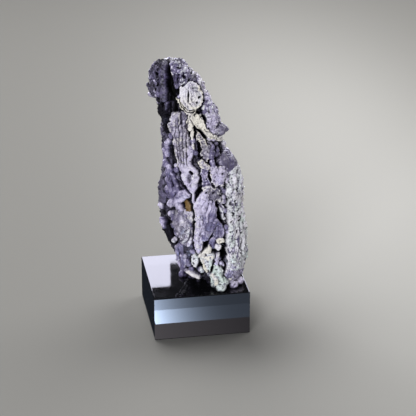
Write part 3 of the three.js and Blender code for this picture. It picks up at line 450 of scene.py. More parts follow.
# Rounded mounds: middle, half width, half height, depth of the centre, finish, roughness.
MOUNDS = (
    (23.2, 109, 9.6, 6, 4.4, WINE, 0.55), (-10.2, 56.8, 8.2, 12.6, 3.8, GREY, 0.85),
    (-31, 160, 5.2, 7.6, 2.6, DUSK, 0.9),
)

# Grape balls: s, h, radius, finish, and how far a ball on a plate is lifted.
GRAPES = (
    (-33, 159, 3.4, DUSK), (-31, 169, 3.2, DUSK), (-28, 175, 2.6, DUSK), (-27, 160, 2.4, VIOLET), (-35, 163, 2.4, DUSK),
    (-34, 154, 2.2, LILAC), (-27, 152, 2, LILAC), (-32.5, 164, 1.9, LILAC), (-15.2, 144.6, 1.7, PALE, 1),
    (-16.6, 140.6, 1.9, PALE, 1), (-18, 136.4, 1.9, PALE, 1), (-17.4, 132.8, 1.5, PALE, 1), (-15.6, 130, 1.5, LILAC, 1),
    (-18.4, 126, 2.4, VIOLET), (-24, 122, 1.9, DUSK), (-21.4, 115, 2.3, MAUVE), (-23.2, 109.4, 1.8, VIOLET),
    (-22, 105, 2, MAUVE), (-19.9, 100.6, 2.4, MAUVE), (-14.8, 104, 1.7, LILAC), (-24.3, 97.6, 1.6, MAUVE),
    (-21.8, 94.8, 2.4, MAUVE), (-21.5, 83, 2.5, LILAC), (-18.6, 72.6, 2.6, MAUVE), (-19.4, 64, 2.4, LILAC),
    (-17, 44, 2, PALE), (17, 121.6, 2.0, PALE, 4), (14.4, 119, 1.9, VIOLET, 1.6), (0, 66.6, 1.2, PALE, 2.2),
    (0.8, 62.8, 1.5, PALE, 2.2), (0.4, 70, 1, CREAM, 2), (0.8, 59, 1, PALE, 2), (1.4, 56, 0.9, CREAM, 2),
    (0.6, 51, 1, PALE, 1.8), (-1.8, 127.5, 2.1, VIOLET, 0.4), (-0.4, 117.4, 2.0, VIOLET, 0),
    (-3.8, 122, 1.7, MAUVE, 1.4), (11.6, 118, 2.2, VIOLET, 1.4), (1.6, 112, 1.7, DUSK, 0.4), (-29, 163, 1.4, LILAC, 1),
    (-28.2, 159, 1.3, LILAC, 1), (-30, 156.4, 1.6, LILAC, 1), (-29.6, 172, 1.2, MAUVE, 1), (33.5, 43, 2.4, LILAC),
    (33.4, 36.6, 2.5, LILAC), (31.6, 31.6, 2.4, LILAC), (-7.6, 20.6, 2.2, LILAC), (18.3, 31, 2.1, LILAC),
    (18, 22, 2.2, MINT), (21, 15, 2.5, PALE), (16, 17, 2.2, LILAC), (14, 12, 2.5, MINT), (13, 6, 2.4, MINT),
    (17, 7, 2.6, MINT), (20, 9, 2.7, MINT), (25, 14, 2.8, CREAM), (28, 20, 2.7, LILAC), (33, 12, 3.2, LILAC),
    (33, 19, 2.8, LILAC), (32.4, 21, 2.4, LILAC), (33, 26.4, 2.3, LILAC), (28, 8, 2.4, LILAC),
)

# Fields of scattered grape balls: how many, side, share of the half width across, heights, radii.
GRAPE_FIELDS = (
    (44, FAR, (-0.8, 0.72), (8, 172), (2.6, 5.2)), (26, NEAR, (0.6, 0.9), (8, 100), (1.8, 2.4)),
    (14, NEAR, (0.45, 0.97), (112, 150), (1.6, 2.5)), (12, NEAR, (0.1, 0.97), (156, 178), (1.5, 2.2)),
    (16, NEAR, (-0.75, -0.2), (38, 64), (1.6, 2.4)), (16, NEAR, (-0.7, 0.9), (6, 34), (1.8, 2.8)),
    (10, NEAR, (-0.97, -0.6), (66, 104), (1.7, 2.6)), (9, FAR, (-0.995, -0.9), (20, 62), (1.9, 3.2)),
    (7, FAR, (-0.995, -0.85), (104, 150), (1.8, 2.8)),
)
GRAPE_SINK = 0.35  # of the radius
GRAPE_SEED = 11

# A spur on the right, as s, d, h and radius, and feet that reach the block where the trunk's underside draws in, as
# s, d, h, radius and finish.
SPUR = ((20, -11, 130.5, 4.8), (22.6, -10.8, 130.6, 3.1), (24.6, -10.5, 130.2, 1.9), (26, -10.3, 130, 1.0))
FOOT_GRAPES = (
    (21, -29, 3, 4, MINT), (19, -26.5, 5, 4, MINT), (16, -24, 3.5, 3.4, MINT), (23.5, -27, 7, 3.6, MINT),
    (31, -22.5, 2.6, 3.6, LILAC), (35, -17.5, 3, 3.6, LILAC), (28, -22, 7, 3.5, LILAC), (3.5, -12.5, 1.5, 2.4, DUSK),
    (-9.5, -3.5, 1.5, 3.2, VIOLET), (12, -15, 1.5, 2.6, DUSK),
)

# ==== Chance: seeded fields over space ====

DICE_COUNT = 4096
DICE_SEED = 7
DICE = np.random.default_rng(DICE_SEED).random((DICE_COUNT, 4))
SKEW = np.linalg.qr(np.array([[0.8, 0.5, 0.3], [-0.4, 0.8, 0.45], [0.1, -0.5, 0.85]]))[0]  # turns the lattices
HASH = (73856093, 19349663, 83492791, 15485863, 1274126177)  # primes that the lattice counts are mixed by
NEIGHBOURS = np.stack(np.meshgrid((-1, 0, 1), (-1, 0, 1), (-1, 0, 1), indexing="ij"), -1).reshape(-1, 3)
CORNERS = np.stack(np.meshgrid((0, 1), (0, 1), (0, 1), indexing="ij"), -1).reshape(-1, 3)


class Noise(Enum):
    """The random fields over space: each one's pitch in millimetres, and the salt that sets it apart."""

    STRAND = (2.9, 1)
    BUNCH = (2.7, 2)
    GRAPE = (1.35, 3)
    GROWTH_BUNCH = (2.3, 4)
    GROWTH_GRAPE = (1.2, 5)
    GROWTH_SWELL = (4.0, 6)
    RIDGE = (6.0, 9)
    ZONE_ACROSS = (4.5, 21)
    ZONE_UP = (4.5, 22)
    CLOUD = (6.0, 31)
    CRUST = (3.4, 32)
    BLOTCH = (2.6, 33)
    FLECK = (1.2, 34)
    CRUMB = (1.3, 35)
    WARMTH = (7.0, 36)
    TINGE = (8.0, 37)
    RIB_WIDTH = (4.0, 57)
    SWELL = (4.2, 58)
    CRAG = (3.4, 59)
    CHIP = (2.7, 70)
    NICK = (1.3, 71)
    FLUTE_BEND = (4.4, 72)
    FLUTE_WAVER = (1.6, 73)


STRAY_SALT = 60  # first salt of the fields that make edges ragged


def rolls(cells: Array, salt: int) -> Array:
    """Four random numbers for each cell of a cubic lattice: the cell's three counts are hashed into a row of DICE.

    Args:
        cells: whole numbers, (..., 3).
        salt: number that sets one field apart from another.

    Returns:
        Numbers from 0 to 1, (..., 4).
    """
    key = (cells[..., 0] * HASH[0]) ^ (cells[..., 1] * HASH[1]) ^ (cells[..., 2] * HASH[2]) ^ (salt * HASH[3])
    key = (key ^ (key >> 13)) * HASH[4]
    return DICE[(key ^ (key >> 16)) & (DICE_COUNT - 1)]


def smooth(low: float, high: float, values: Array) -> Array:
    """Soft step from 0 at low to 1 at high: 3t^2 - 2t^3 of the clamped share."""
    t = np.clip((values - low) / (high - low), 0.0, 1.0)
    return t * t * (3.0 - 2.0 * t)


def drift(points: Array, pitch: float, salt: int) -> Array:
    """Smooth wandering value, -1 to 1: the corner values of each lattice cell, blended by soft steps.

    Args:
        points: places, (n, 3).
        pitch: size of a lattice cell.
        salt: number of the field.

    Returns:
        One value for each point.
    """
    at = points @ SKEW / pitch
    cell = np.floor(at).astype(np.int64)
    share = at - cell
    share = share * share * (3.0 - 2.0 * share)
    total = np.zeros(at.shape[:-1])
    for corner in CORNERS:
        weight = np.prod(np.where(corner == 1, share, 1.0 - share), axis=-1)
        total += weight * rolls(cell + corner, salt)[..., 0]
    return 2.0 * total - 1.0


GRAPE_SIZE = (0.62, 0.42)  # least size of a grape of the coat, and how much it may grow, in lattice cells


def grape_coat(points: Array, pitch: float, salt: int) -> tuple[Array, Array]:
    """Coat of round grapes: each lattice cell holds one grape at a random place, of a random size. The height is the
    dome sqrt(1 - q^2) of the nearest grape, where q is the distance in grape sizes.

    Args:
        points: places, (n, 3).
        pitch: size of a lattice cell.
        salt: number of the field.

    Returns:
        The dome's height, 0 to 1, and the nearest grape's own random number.
    """
    at = points @ SKEW / pitch
    cell = np.floor(at).astype(np.int64)
    nearest = np.full(at.shape[:-1], np.inf)
    tag = np.zeros(at.shape[:-1])
    for offset in NEIGHBOURS:
        corner = cell + offset
        roll = rolls(corner, salt)
        gap = np.linalg.norm(at - corner - roll[..., :3], axis=-1) / (GRAPE_SIZE[0] + GRAPE_SIZE[1] * roll[..., 3])
        closer = gap < nearest
        nearest = np.where(closer, gap, nearest)
        tag = np.where(closer, roll[..., 3], tag)
    return np.sqrt(np.clip(1.0 - nearest**2, 0.0, 1.0)), tag


# ==== Surfaces ====


@dataclass
class Skin:
    """A closed surface: its points, the inner point under each, its triangles, and each point's tone."""

    points: Array
    core: Array
    faces: Array
    tone: Array
    grip: Array  # how readily small grapes grow on each point, 0 to 1
    crease_shade: Array  # how open each point is within its own relief, 0 in a crease to 1 on a crown: it sets the painted shade in creases

    @staticmethod
    def joined(skins: list["Skin"]) -> "Skin":
        """Several skins as one, with the triangles' corners renumbered.

        Args:
            skins: the skins, in order.

        Returns:
            One skin.
        """
        starts = np.cumsum([0] + [len(skin.points) for skin in skins])
        faces = np.concatenate([skin.faces + start for skin, start in zip(skins, starts)])
        points, core, tone, grip, crease_shade = (np.concatenate([getattr(skin, name) for skin in skins])
                                            for name in ("points", "core", "tone", "grip", "crease_shade"))
        return Skin(points, core, faces, tone, grip, crease_shade)

    def normals(self) -> Array:
        """Directions that the skin faces.

        Returns:
            Outward direction at each point: the sum of the cross products of the triangles around it, at length 1.
        """
        a, b, c = (self.points[self.faces[:, k]] for k in range(3))
        flat = np.cross(b - a, c - a)
        total = np.zeros_like(self.points)
        for axis in range(3):
            for k in range(3):
                total[:, axis] += np.bincount(self.faces[:, k], flat[:, axis], len(self.points))
        return unit(total)


def unit(vectors: Array) -> Array:
    """Vectors shortened or stretched to length 1."""
    return vectors / np.maximum(np.linalg.norm(vectors, axis=-1, keepdims=True), 1e-9)


def hermite(t: Array, start: Array, leave: Array, end: Array, arrive: Array,
            step: Array | float = 1.0) -> Array:
    """Cubic Hermite curve: (2t^3 - 3t^2 + 1) start + (t^3 - 2t^2 + t) step leave + (3t^2 - 2t^3) end
    + (t^3 - t^2) step arrive.

    Args:
        t: share of the way, 0 to 1.
        start: value at 0.
        leave: slope there.
        end: value at 1.
        arrive: slope there.
        step: length of the way that the slopes are given over.

    Returns:
        The values at t.
    """
    return ((2 * t**3 - 3 * t**2 + 1) * start + (t**3 - 2 * t**2 + t) * step * leave
            + (3 * t**2 - 2 * t**3) * end + (t**3 - t**2) * step * arrive)


def box_blurred(block: Array, reach: int) -> Array:
    """Block with each value replaced by the mean of those within reach, twice along each axis.

    Args:
        block: values on a grid of any number of axes.
        reach: how many cells to each side are taken in.

    Returns:
        The blurred block.
    """
    width = 2 * reach + 1
    for axis in range(block.ndim):
        for _ in range(2):
            pad = [(0, 0)] * block.ndim
            pad[axis] = (reach + 1, reach)
            total = np.cumsum(np.pad(block, pad, "edge"), axis=axis, dtype=np.float64)
            ahead = np.take(total, range(width, total.shape[axis]), axis)
            behind = np.take(total, range(total.shape[axis] - width), axis)
            block = ((ahead - behind) / width).astype(block.dtype)
    return block


def tube_faces(rings: int, sides: int) -> Array:
    """Triangles of a closed tube: a first pole, rings of points that turn anticlockwise seen from the last pole, and
    a last pole.

    Args:
        rings: number of rings.
        sides: number of points in a ring.

    Returns:
        Corner numbers, (triangles, 3).
    """
    k = np.arange(sides)
    k2 = (k + 1) % sides
    start = 1 + sides * np.arange(rings - 1)[:, None]
    a, b, c, d = (np.broadcast_to(x, (rings - 1, sides)).ravel() for x in (
        start + k, start + k2, start + sides + k2, start + sides + k))
    last = 1 + rings * sides
    return np.concatenate([
        np.stack([np.zeros_like(k), 1 + k2, 1 + k], -1),
        np.stack([a, b, c], -1),
        np.stack([a, c, d], -1),
        np.stack([last - sides + k, last - sides + k2, np.full_like(k, last)], -1),
    ])


CURVE_STEPS = 40  # points of a course between two marks, before it is walked in even steps


def smooth_course(marks: Array, step: float) -> Array:
    """Even points along a smooth curve through marks: a centripetal Catmull-Rom curve, whose end marks are mirrored
    outwards, walked in equal lengths.

    Args:
        marks: places, (m, 3).
        step: wished length between points.

    Returns:
        Places, (n, 3).
    """
    ends = np.concatenate([2 * marks[:1] - marks[1:2], marks, 2 * marks[-1:] - marks[-2:-1]])
    pace = np.maximum(np.linalg.norm(np.diff(ends, axis=0), axis=1), 1e-6) ** 0.5
    t = np.linspace(0, 1, CURVE_STEPS, endpoint=False)[:, None]
    parts = []
    for k in range(1, len(ends) - 2):
        before, at, after, beyond = ends[k - 1:k + 3]
        near, own, far = pace[k - 1:k + 2]
        leave = own * ((at - before) / near - (after - before) / (near + own) + (after - at) / own)
        arrive = own * ((after - at) / own - (beyond - at) / (own + far) + (beyond - after) / far)
        parts.append(hermite(t, at, leave, after, arrive))
    curve = np.concatenate(parts + [marks[-1:]])
    walked = np.concatenate([[0], np.cumsum(np.linalg.norm(np.diff(curve, axis=0), axis=1))])
    even = np.linspace(0, walked[-1], max(3, round(walked[-1] / step) + 1))
    return np.stack([np.interp(even, walked, curve[:, axis]) for axis in range(3)], -1)


@dataclass(frozen=True)
class TrunkForm:
    """The trunk's smooth form: superellipse sections stacked along a leaning line, with broad uneven waves."""

    rows: Array = field(default_factory=lambda: np.array(TRUNK_SECTIONS, float))
    slab_turn: float = math.radians(20.4)  # long axis of a section, from the show face
    power: float = 2.25  # superellipse power: 2 is an ellipse
    swell: float = 1.1  # height of the broad waves
    scan: int = 240  # turns tried when a place on the face is looked for

    def value(self, column: int, h: Array) -> Array:
        """Smooth curve through one column of the sections: cubic Hermite with central-difference slopes.

        Args:
            column: number of the column.
            h: heights.

        Returns:
            The column's values at the heights.
        """
        heights, values = self.rows[:, 0], self.rows[:, column]
        before = np.clip(np.arange(len(heights)) - 1, 0, None)
        after = np.clip(np.arange(len(heights)) + 1, None, len(heights) - 1)
        slopes = (values[after] - values[before]) / (heights[after] - heights[before])
        i = np.clip(np.searchsorted(heights, h, "right") - 1, 0, len(heights) - 2)
        step = heights[i + 1] - heights[i]
        t = np.clip((h - heights[i]) / step, 0, 1)
        return hermite(t, values[i], slopes[i], values[i + 1], slopes[i + 1], step)

    def centre(self, h: Array) -> Array:
        """Centres of the sections at heights."""
        return np.stack([self.value(1, h), self.value(3, h), h + 0.0 * h], -1)

    def point(self, angle: Array, h: Array) -> Array:
        """Places of the surface: the superellipse x = long |cos|^(2/power), y = thick |sin|^(2/power), plus waves,
        turned by slab_turn.

        Args:
            angle: turns round the sections.
            h: heights.

        Returns:
            The places, in (s, d, h).
        """
        angle, h = np.broadcast_arrays(angle, h)
        reach = np.maximum(self.value(2, h), 0.5)
        thick = np.maximum(self.value(4, h), 0.5)
        long2 = reach**2 - (thick * math.sin(self.slab_turn)) ** 2
        long = np.sqrt(np.maximum(long2, (0.55 * reach) ** 2)) / math.cos(self.slab_turn)
        c, n = np.cos(angle), np.sin(angle)
        wave = self.swell * np.minimum(1, thick / 8) * (
            0.5 * np.sin(3 * angle + 0.09 * h) + 0.35 * np.sin(5 * angle - 0.13 * h + 1)
            + 0.35 * np.sin(2 * angle + 0.21 * h + 2))
        x = long * np.sign(c) * np.abs(c) ** (2 / self.power) + wave * c
        y = thick * np.sign(n) * np.abs(n) ** (2 / self.power) + wave * n
        co, si = math.cos(self.slab_turn), math.sin(self.slab_turn)
        return np.stack([self.value(1, h) + x * co + y * si, self.value(3, h) - x * si + y * co, h + 0.0], -1)

    def normal(self, angle: Array, h: Array) -> Array:
        """Outward directions of the surface: the cross product of its steps round and up.

        Args:
            angle: turns round the sections.
            h: heights.

        Returns:
            Directions of length 1.
        """
        along = self.point(angle + 0.02, h) - self.point(angle - 0.02, h)
        up = self.point(angle, h + 1) - self.point(angle, h - 1)
        return unit(np.cross(along, up))

    def on_face(self, s: Array, h: Array, side: Side) -> tuple[Array, Array]:
        """The surface at places of the show face.

        Args:
            s: places across.
            h: heights.
            side: side of the trunk.

        Returns:
            The places, with s kept where it passes the outline, and the outward directions there.
        """
        turns = np.linspace(0, 2 * np.pi, self.scan + 1)
        ring = self.point(turns[None, :], h[:, None])
        gap = ring[..., 0] - s[:, None]
        crossing = gap[:, :-1] * gap[:, 1:] <= 0
        depth = np.where(crossing, side.value * ring[:, 1:, 1], np.inf)
        pick = np.where(crossing.any(1), depth.argmin(1), np.abs(gap[:, 1:]).argmin(1))
        row = np.arange(len(s))
        share = np.where(crossing.any(1), gap[row, pick] / (gap[row, pick] - gap[row, pick + 1] + 1e-12), 1.0)
        angle = turns[pick] + np.clip(share, 0, 1) * (turns[1] - turns[0])
        place = self.point(angle, h)
        place[:, 0] = s
        return place, self.normal(angle, h)


# How far lower a mark of the flat layout lies on the trunk: its height, its drop at s = 0, and the drop's change for
# each millimetre of s.
LAYOUT_DROP = ((0, 0, 0), (6, 2, 0), (15, 6, 0), (22, 7.6, 0), (33, 7, -0.03), (41, 5.5, 0), (50, 4.5, 0.04),
               (60, 3.9, 0.06), (75, 2.8, 0.07), (100, 2.6, 0.08), (120, 2.4, 0.08), (135, 2.4, 0.06), (147, 0.4, 0.04),
               (160, 2.6, 0.04), (172, 5.4, 0.04), (180, 3, 0.02), (186, 1, 0))
LAYOUT_SHIFT = 1.7  # how far right a mark lies at s = 0 below the crown
LAYOUT_STRETCH = 0.06  # how much further for each millimetre of s
LAYOUT_CROWN = (135, 122)  # heights over which the shift sets in


def laid(marks: Array) -> Array:
    """Marks of the near side's flat layout, carried to where they lie on the bulging trunk: h falls by a drop that is
    interpolated over the height and grows with s, and s is stretched below the crown.

    Args:
        marks: s and h of each mark, (n, 2).

    Returns:
        s and h on the trunk, (n, 2).
    """
    s, h = marks[:, 0], marks[:, 1]
    height, drop, tilt = np.array(LAYOUT_DROP, float).T
    fall = np.maximum(np.interp(h, height, drop) + np.interp(h, height, tilt) * s, 0)
    return np.stack([s + smooth(*LAYOUT_CROWN, h) * (LAYOUT_SHIFT + LAYOUT_STRETCH * s), h - fall], -1)


@dataclass(frozen=True)
class Patchwork:
    """The finishes over the stone: zones laid over each other, with edges that wander."""

    near: tuple = NEAR_ZONES
    far: tuple = FAR_ZONES
    near_ground: Zone = Zone(0, 0, 1, 1, Hue.VIOLET, 0.5)
    far_ground: Zone = Zone(0, 0, 1, 1, Hue.LILAC, 0.5)
    wander: float = 2.2

    def lay(self, points: Array, zones: tuple, ground: Zone) -> Array:
        """Tone and roughness at points: each zone covers those before it inside its oval, with a soft edge.

        Args:
            points: places, (n, 3).
            zones: zones of one side.
            ground: finish under all of them.

        Returns:
            Five tone values and the roughness, (n, 6).
        """
        s = points[:, 0] + self.wander * drift(points, *Noise.ZONE_ACROSS.value)
        h = points[:, 2] + self.wander * drift(points, *Noise.ZONE_UP.value)
        mix = np.tile(np.append(ground.hue.value.row(), ground.rough), (len(points), 1))
        for zone in zones:
            middle = np.array([[zone.s, zone.h]], float)
            middle = laid(middle)[0] if zones is self.near else middle[0]
            oval = np.hypot((s - middle[0]) / zone.across, (h - middle[1]) / zone.high)
            cover = smooth(1.2, 0.85, oval)[:, None]
            mix += cover * (np.append(zone.hue.value.row(), zone.rough) - mix)
        return mix

    def at(self, points: Array, far: Array) -> Array:
        """Tone and roughness at points.

        Args:
            points: places, (n, 3).
            far: how far each point is on the far side, 0 to 1.

        Returns:
            Five tone values and the roughness, (n, 6).
        """
        near_mix = self.lay(points, self.near, self.near_ground)
        return near_mix + far[:, None] * (self.lay(points, self.far, self.far_ground) - near_mix)


FORM = TrunkForm()
PATCHES = Patchwork()


def mottled(tone: Array, tag: Array, points: Array) -> Array:
    """Tone with each grape a little lighter or darker, and more or less crusted, than its neighbours.

    Args:
        tone: tone of each point.
        tag: random number of the grape that each point is on.
        points: places, (n, 3).

    Returns:
        The mottled tone.
    """
    def sway(noise: Noise) -> Array:
        """One random field at the points."""
        return drift(points, *noise.value)

    out = tone.copy()
    shown = smooth(0.08, 0.3, tone[:, LIGHT])
    patchy = 0.12 * sway(Noise.CLOUD) + 0.14 * sway(Noise.BLOTCH) + 0.14 * sway(Noise.FLECK)
    out[:, LIGHT] = np.clip(out[:, LIGHT] * (0.85 + 0.3 * tag) + shown * patchy, 0, 1)
    out[:, CRUST] = np.clip(out[:, CRUST] + (0.16 * sway(Noise.CRUST) + 0.24 * sway(Noise.CRUMB)) * shown, 0, 1)
    out[:, WARM] = np.clip(out[:, WARM] + 0.35 * sway(Noise.WARMTH) * shown, -1, 1)
    out[:, TINT] = np.clip(out[:, TINT] + 0.3 * sway(Noise.TINGE), 0, 1)
    return out


def tinted(tone: Array, share: Array, hue: Hue) -> Array:
    """Tone carried by a share of the way to a finish."""
    return tone + share[:, None] * (hue.value.row() - tone)


# ==== Parts of the stone ====


def depth_inside(places: Array, outline: Array) -> Array:
    """How far places lie inside a closed outline, negative outside it: the least distance to its sides, signed by
    whether a line to the right crosses an odd number of them.

    Args:
        places: places on the face, (n, 2).
        outline: corners, (m, 2).

    Returns:
        One distance for each place.
    """
    ahead = np.roll(outline, -1, axis=0)
    side = ahead - outline
    gap = places[:, None] - outline[None]
    share = np.clip(np.sum(gap * side, -1) / np.maximum(np.sum(side**2, -1), 1e-9), 0, 1)
    nearest = np.linalg.norm(gap - share[..., None] * side, axis=-1).min(1)
    spans = (outline[None, :, 1] > places[:, None, 1]) != (ahead[None, :, 1] > places[:, None, 1])
    slope = side[:, 0] / np.where(side[:, 1] == 0, 1e-9, side[:, 1])
    crossing = outline[:, 0] + (places[:, None, 1] - outline[:, 1]) * slope
    odd = np.sum(spans & (places[:, None, 0] < crossing), 1) % 2 == 1
    return np.where(odd, nearest, -nearest)


@dataclass
class Relief:
    """The relief of a piece as it is built up over the smooth trunk."""

    points: Array  # places on the smooth trunk
    out: Array  # outward directions there
    far: Array  # how far each place is on the far side, 0 to 1
    moves: Array  # random moves of the places, which make edges ragged
    height: Array  # height over the smooth trunk
    tone: Array
    rough: Array

    def tint(self, close: Array, share: Array, hue: Hue) -> None:
        """Carries the tone of some places by a share of the way to a finish."""
        self.tone[close] = tinted(self.tone[close], share, hue)

    def ragged(self, close: Array, wander: float) -> Array:
        """Some of the places, moved by a share of their random moves."""
        return self.points[close] + wander * self.moves[close]


@dataclass(frozen=True)
class Ridges:
    """The plates and ribs that are grown into the trunk's relief, and the clefts and pits sunk into it."""

    ribs: tuple = CROWN_RIBS + STRAND_RIBS + MIDDLE_RIBS + LOWER_RIBS + BACK_RIBS
    folds: tuple = FOLD_RIBS
    low_plates: tuple = CROWN_PLATES + MIDDLE_PLATES + COLUMN_PLATES
    high_plates: tuple = ROSETTE_PLATES + LOWER_PLATES + FOOT_PLATES
    clefts: tuple = CLEFTS
    pits: tuple = PITS
    ragged: tuple = ((5.0, 1.1), (2.2, 0.8), (1.0, 0.35))  # pitch and reach of the wander of their edges
    flutes: tuple = FLUTES
    calm: float = 0.35  # share of the wander that a smooth growth keeps
    merge: float = 1.0  # how softly a rib runs into what it rises from
    rib_step: float = 0.8  # length between the points of a rib's middle line
    rib_width: float = 1.1  # of the radii given

    def stray(self, points: Array) -> Array:
        """Random moves for points, so that edges measured from the moved points are ragged.

        Args:
            points: places, (n, 3).

        Returns:
            One move for each place, (n, 3).
        """
        moves = np.zeros_like(points)
        for salt, (pitch, reach) in enumerate(self.ragged):
            for axis in range(3):
                moves[:, axis] += reach * drift(points, pitch, STRAY_SALT + 3 * salt + axis)
        return moves

    @staticmethod
    def course(marks: tuple, side: Side, sink: float, step: float) -> Array:
        """Even points along a course on the trunk's face.

        Args:
            marks: s and h of each mark in turn.
            side: side of the trunk.
            sink: how far under the face the course runs.
            step: wished length between points.

        Returns:
            Places, (n, 3).
        """
        marks = np.array(marks, float).reshape(-1, 2)
        marks = laid(marks) if side is Side.NEAR else marks
        line = smooth_course(FORM.on_face(marks[:, 0], marks[:, 1], side)[0], step)
        face, out = FORM.on_face(line[:, 0], line[:, 2], side)
        return face - sink * out

    def raise_ribs(self, ribs: tuple, relief: Relief) -> None:
        """Raises the relief to the ribs' round backs, where they stand over it: sqrt(r^2 - x^2) above a rib's middle
        line, at a distance x beside it. The tone and roughness follow.

        Args:
            ribs: the ribs.
            relief: the relief, changed in place.
        """
        points, height = relief.points, relief.height
        for rib in ribs:
            line = self.course(rib.course, rib.side, rib.sink, self.rib_step)
            reach = max(rib.start, rib.end) * 1.3 + 2
            close = np.flatnonzero(np.all((points > line.min(0) - reach) & (points < line.max(0) + reach), axis=1))
            if not len(close):
                continue
            gap = relief.ragged(close, self.calm + (1 - self.calm) * rib.rough)[:, None] - line[None]
            nearest = np.linalg.norm(gap, axis=-1).argmin(1)
            gap = gap[np.arange(len(close)), nearest]
            rise = np.sum(gap * relief.out[close], -1)
            beside = np.linalg.norm(gap - rise[:, None] * relief.out[close], axis=-1)
            share = nearest / (len(line) - 1)
            swell = 1 + 0.2 * drift(points[close], *Noise.RIB_WIDTH.value)
            radius = self.rib_width * (rib.start + share * (rib.end - rib.start)) * swell
            if rib.bead:
                bead = 2 * ((share * len(line) * self.rib_step / rib.bead) % 1) - 1
                radius = radius * (0.75 + 0.35 * np.sqrt(1 - 0.9 * bead**2))
            back = np.sqrt(np.maximum(radius**2 - beside**2, 0)) - rise
            over = smooth(-0.2, 0.5, back - height[close]) * (beside < radius)
            soft = np.maximum(self.merge - np.abs(back - height[close]), 0) ** 2 / (4 * self.merge)
            height[close] = np.where(beside < radius, np.maximum(height[close], back) + soft, height[close])
            relief.tint(close, over, rib.hue)
            relief.rough[close] += over * (rib.rough - relief.rough[close])

    def raise_plates(self, plates: tuple, relief: Relief) -> None:
        """Raises the relief to the plates where they stand over it: at a distance g inside the ragged outline, a plate
        is edge + crown (1 - e^(-g/2)) high, plus a rim that is highest at g = 0.55. The tone and roughness follow.

        Args:
            plates: plates of the near side, the lower ones first.
            relief: the relief, changed in place.
        """
        points, far, height = relief.points, relief.far, relief.height
        for plate in plates:
            corners = laid(np.array(plate.outline + plate.outline[:2], float).reshape(-1, 2))
            outline = smooth_course(np.column_stack([corners, 0 * corners[:, 0]]), 1.0)[:-1, :2]
            low, high = outline.min(0) - 3, outline.max(0) + 3
            close = np.flatnonzero((points[:, 0] > low[0]) & (points[:, 0] < high[0]) & (points[:, 2] > low[1])
                                   & (points[:, 2] < high[1]) & (far < 0.99))
            if not len(close):
                continue
            places = relief.ragged(close, self.calm + (1 - self.calm) * plate.rough)
            inside = depth_inside(places[:, [0, 2]], outline)
            top = (plate.edge + plate.crown * (1 - np.exp(-np.maximum(inside, 0) / 2))
                   + plate.rim * np.exp(-(((inside - 0.55) / 0.5) ** 2)))
            cover = smooth(-0.1, 0.35, inside) * (1 - far[close]) * (top > height[close])
            groove = np.exp(-(((inside + 0.45) / 0.4) ** 2)) * (1 - cover) * (1 - far[close])
            height[close] += cover * (top - height[close]) - plate.groove * groove * (top > height[close])
            relief.tint(close, cover, plate.hue)
            relief.rough[close] += cover * (plate.rough - relief.rough[close])

    def cut_flutes(self, relief: Relief) -> None:
        """Cuts the flutes into the light stone: backs |sin(pi u)|^0.6 of the count u walked across the patch.

        Args:
            relief: the relief, changed in place.
        """
        points = relief.points
        for flutes in self.flutes:
            ends = [laid(np.array([[end[0], end[2]], [end[1], end[2]]], float)) for end in (flutes.top, flutes.foot)]
            (upper, lower), (start, stop) = (end[:, 1].mean() for end in ends), (end[:, 0] for end in ends)
            fall = (upper - points[:, 2]) / (upper - lower)
            first = start[0] + fall * (stop[0] - start[0])
            last = start[1] + fall * (stop[1] - start[1])
            across = (points[:, 0] - first) / (last - first)
            close = np.flatnonzero((fall > 0) & (fall < 1) & (across > 0) & (across < 1) & (relief.far < 0.9))
            long = points[close] * np.array([1, 1, 0.3])
            walk = 0.5 + across[close] * flutes.count + 0.75 * drift(long, *Noise.FLUTE_BEND.value)
            back = np.abs(np.sin(np.pi * (walk + 0.2 * drift(long, *Noise.FLUTE_WAVER.value))))
            cover = (smooth(0, 0.1, fall[close]) * smooth(1, 0.9, fall[close]) * smooth(0, 0.06, across[close])
                     * smooth(1, 0.94, across[close]) * smooth(0.12, 0.35, relief.tone[close, LIGHT]))
            relief.height[close] += flutes.depth * cover * (back**0.6 - 0.7)
            relief.tint(close, 0.75 * cover * smooth(0.5, 0.1, back), flutes.hue)

    def sink_pits(self, points: Array, moves: Array, far: Array) -> Array:
        """Depth of the pits at points: each one's depth inside its ragged oval.

        Args:
            points: places on the smooth trunk.
            moves: random moves of the places.
            far: how far each point is on the far side, 0 to 1.

        Returns:
            Depth at each point.
        """
        total = np.zeros(len(points))
        near = points[:, [0, 2]] + 0.5 * moves[:, [0, 2]]
        for pit in self.pits:
            middle = laid(np.array([[pit.s, pit.h]], float))[0]
            oval = np.hypot((near[:, 0] - middle[0]) / pit.across, (near[:, 1] - middle[1]) / pit.high)
            total = np.maximum(total, pit.depth * smooth(1.15, 0.6, oval) * (1 - far))
        return total

    def sunk(self, points: Array, moves: Array, far: Array) -> Array:
        """Depth of the clefts at points: each one's depth, tapered to its ends, inside its ragged width.

        Args:
            points: places on the smooth trunk.
            moves: random moves of the places.
            far: how far each point is on the far side, 0 to 1.

        Returns:
            Depth at each point.
        """
        total = np.zeros(len(points))
        for cleft in self.clefts:
            line = self.course(cleft.course, cleft.side, 0, 1.2)
            reach = 1.6 * cleft.half_width + 3
            close = np.flatnonzero((points[:, 2] > line[:, 2].min() - reach)
                                   & (points[:, 2] < line[:, 2].max() + reach)
                                   & ((far > 0.5) == (cleft.side is Side.FAR)))
            gaps = np.linalg.norm((points[close] + 0.7 * moves[close])[:, None] - line[None], axis=-1)
            share = gaps.argmin(1) / (len(line) - 1)
            taper = 0.55 + 0.45 * np.sin(np.pi * np.clip(share, 0.12, 0.88))
            width = cleft.half_width * taper
            depth = cleft.depth * taper * smooth(1.3, 0.5, gaps.min(1) / width)
            total[close] = np.maximum(total[close], depth)
        return total


RIDGES = Ridges()


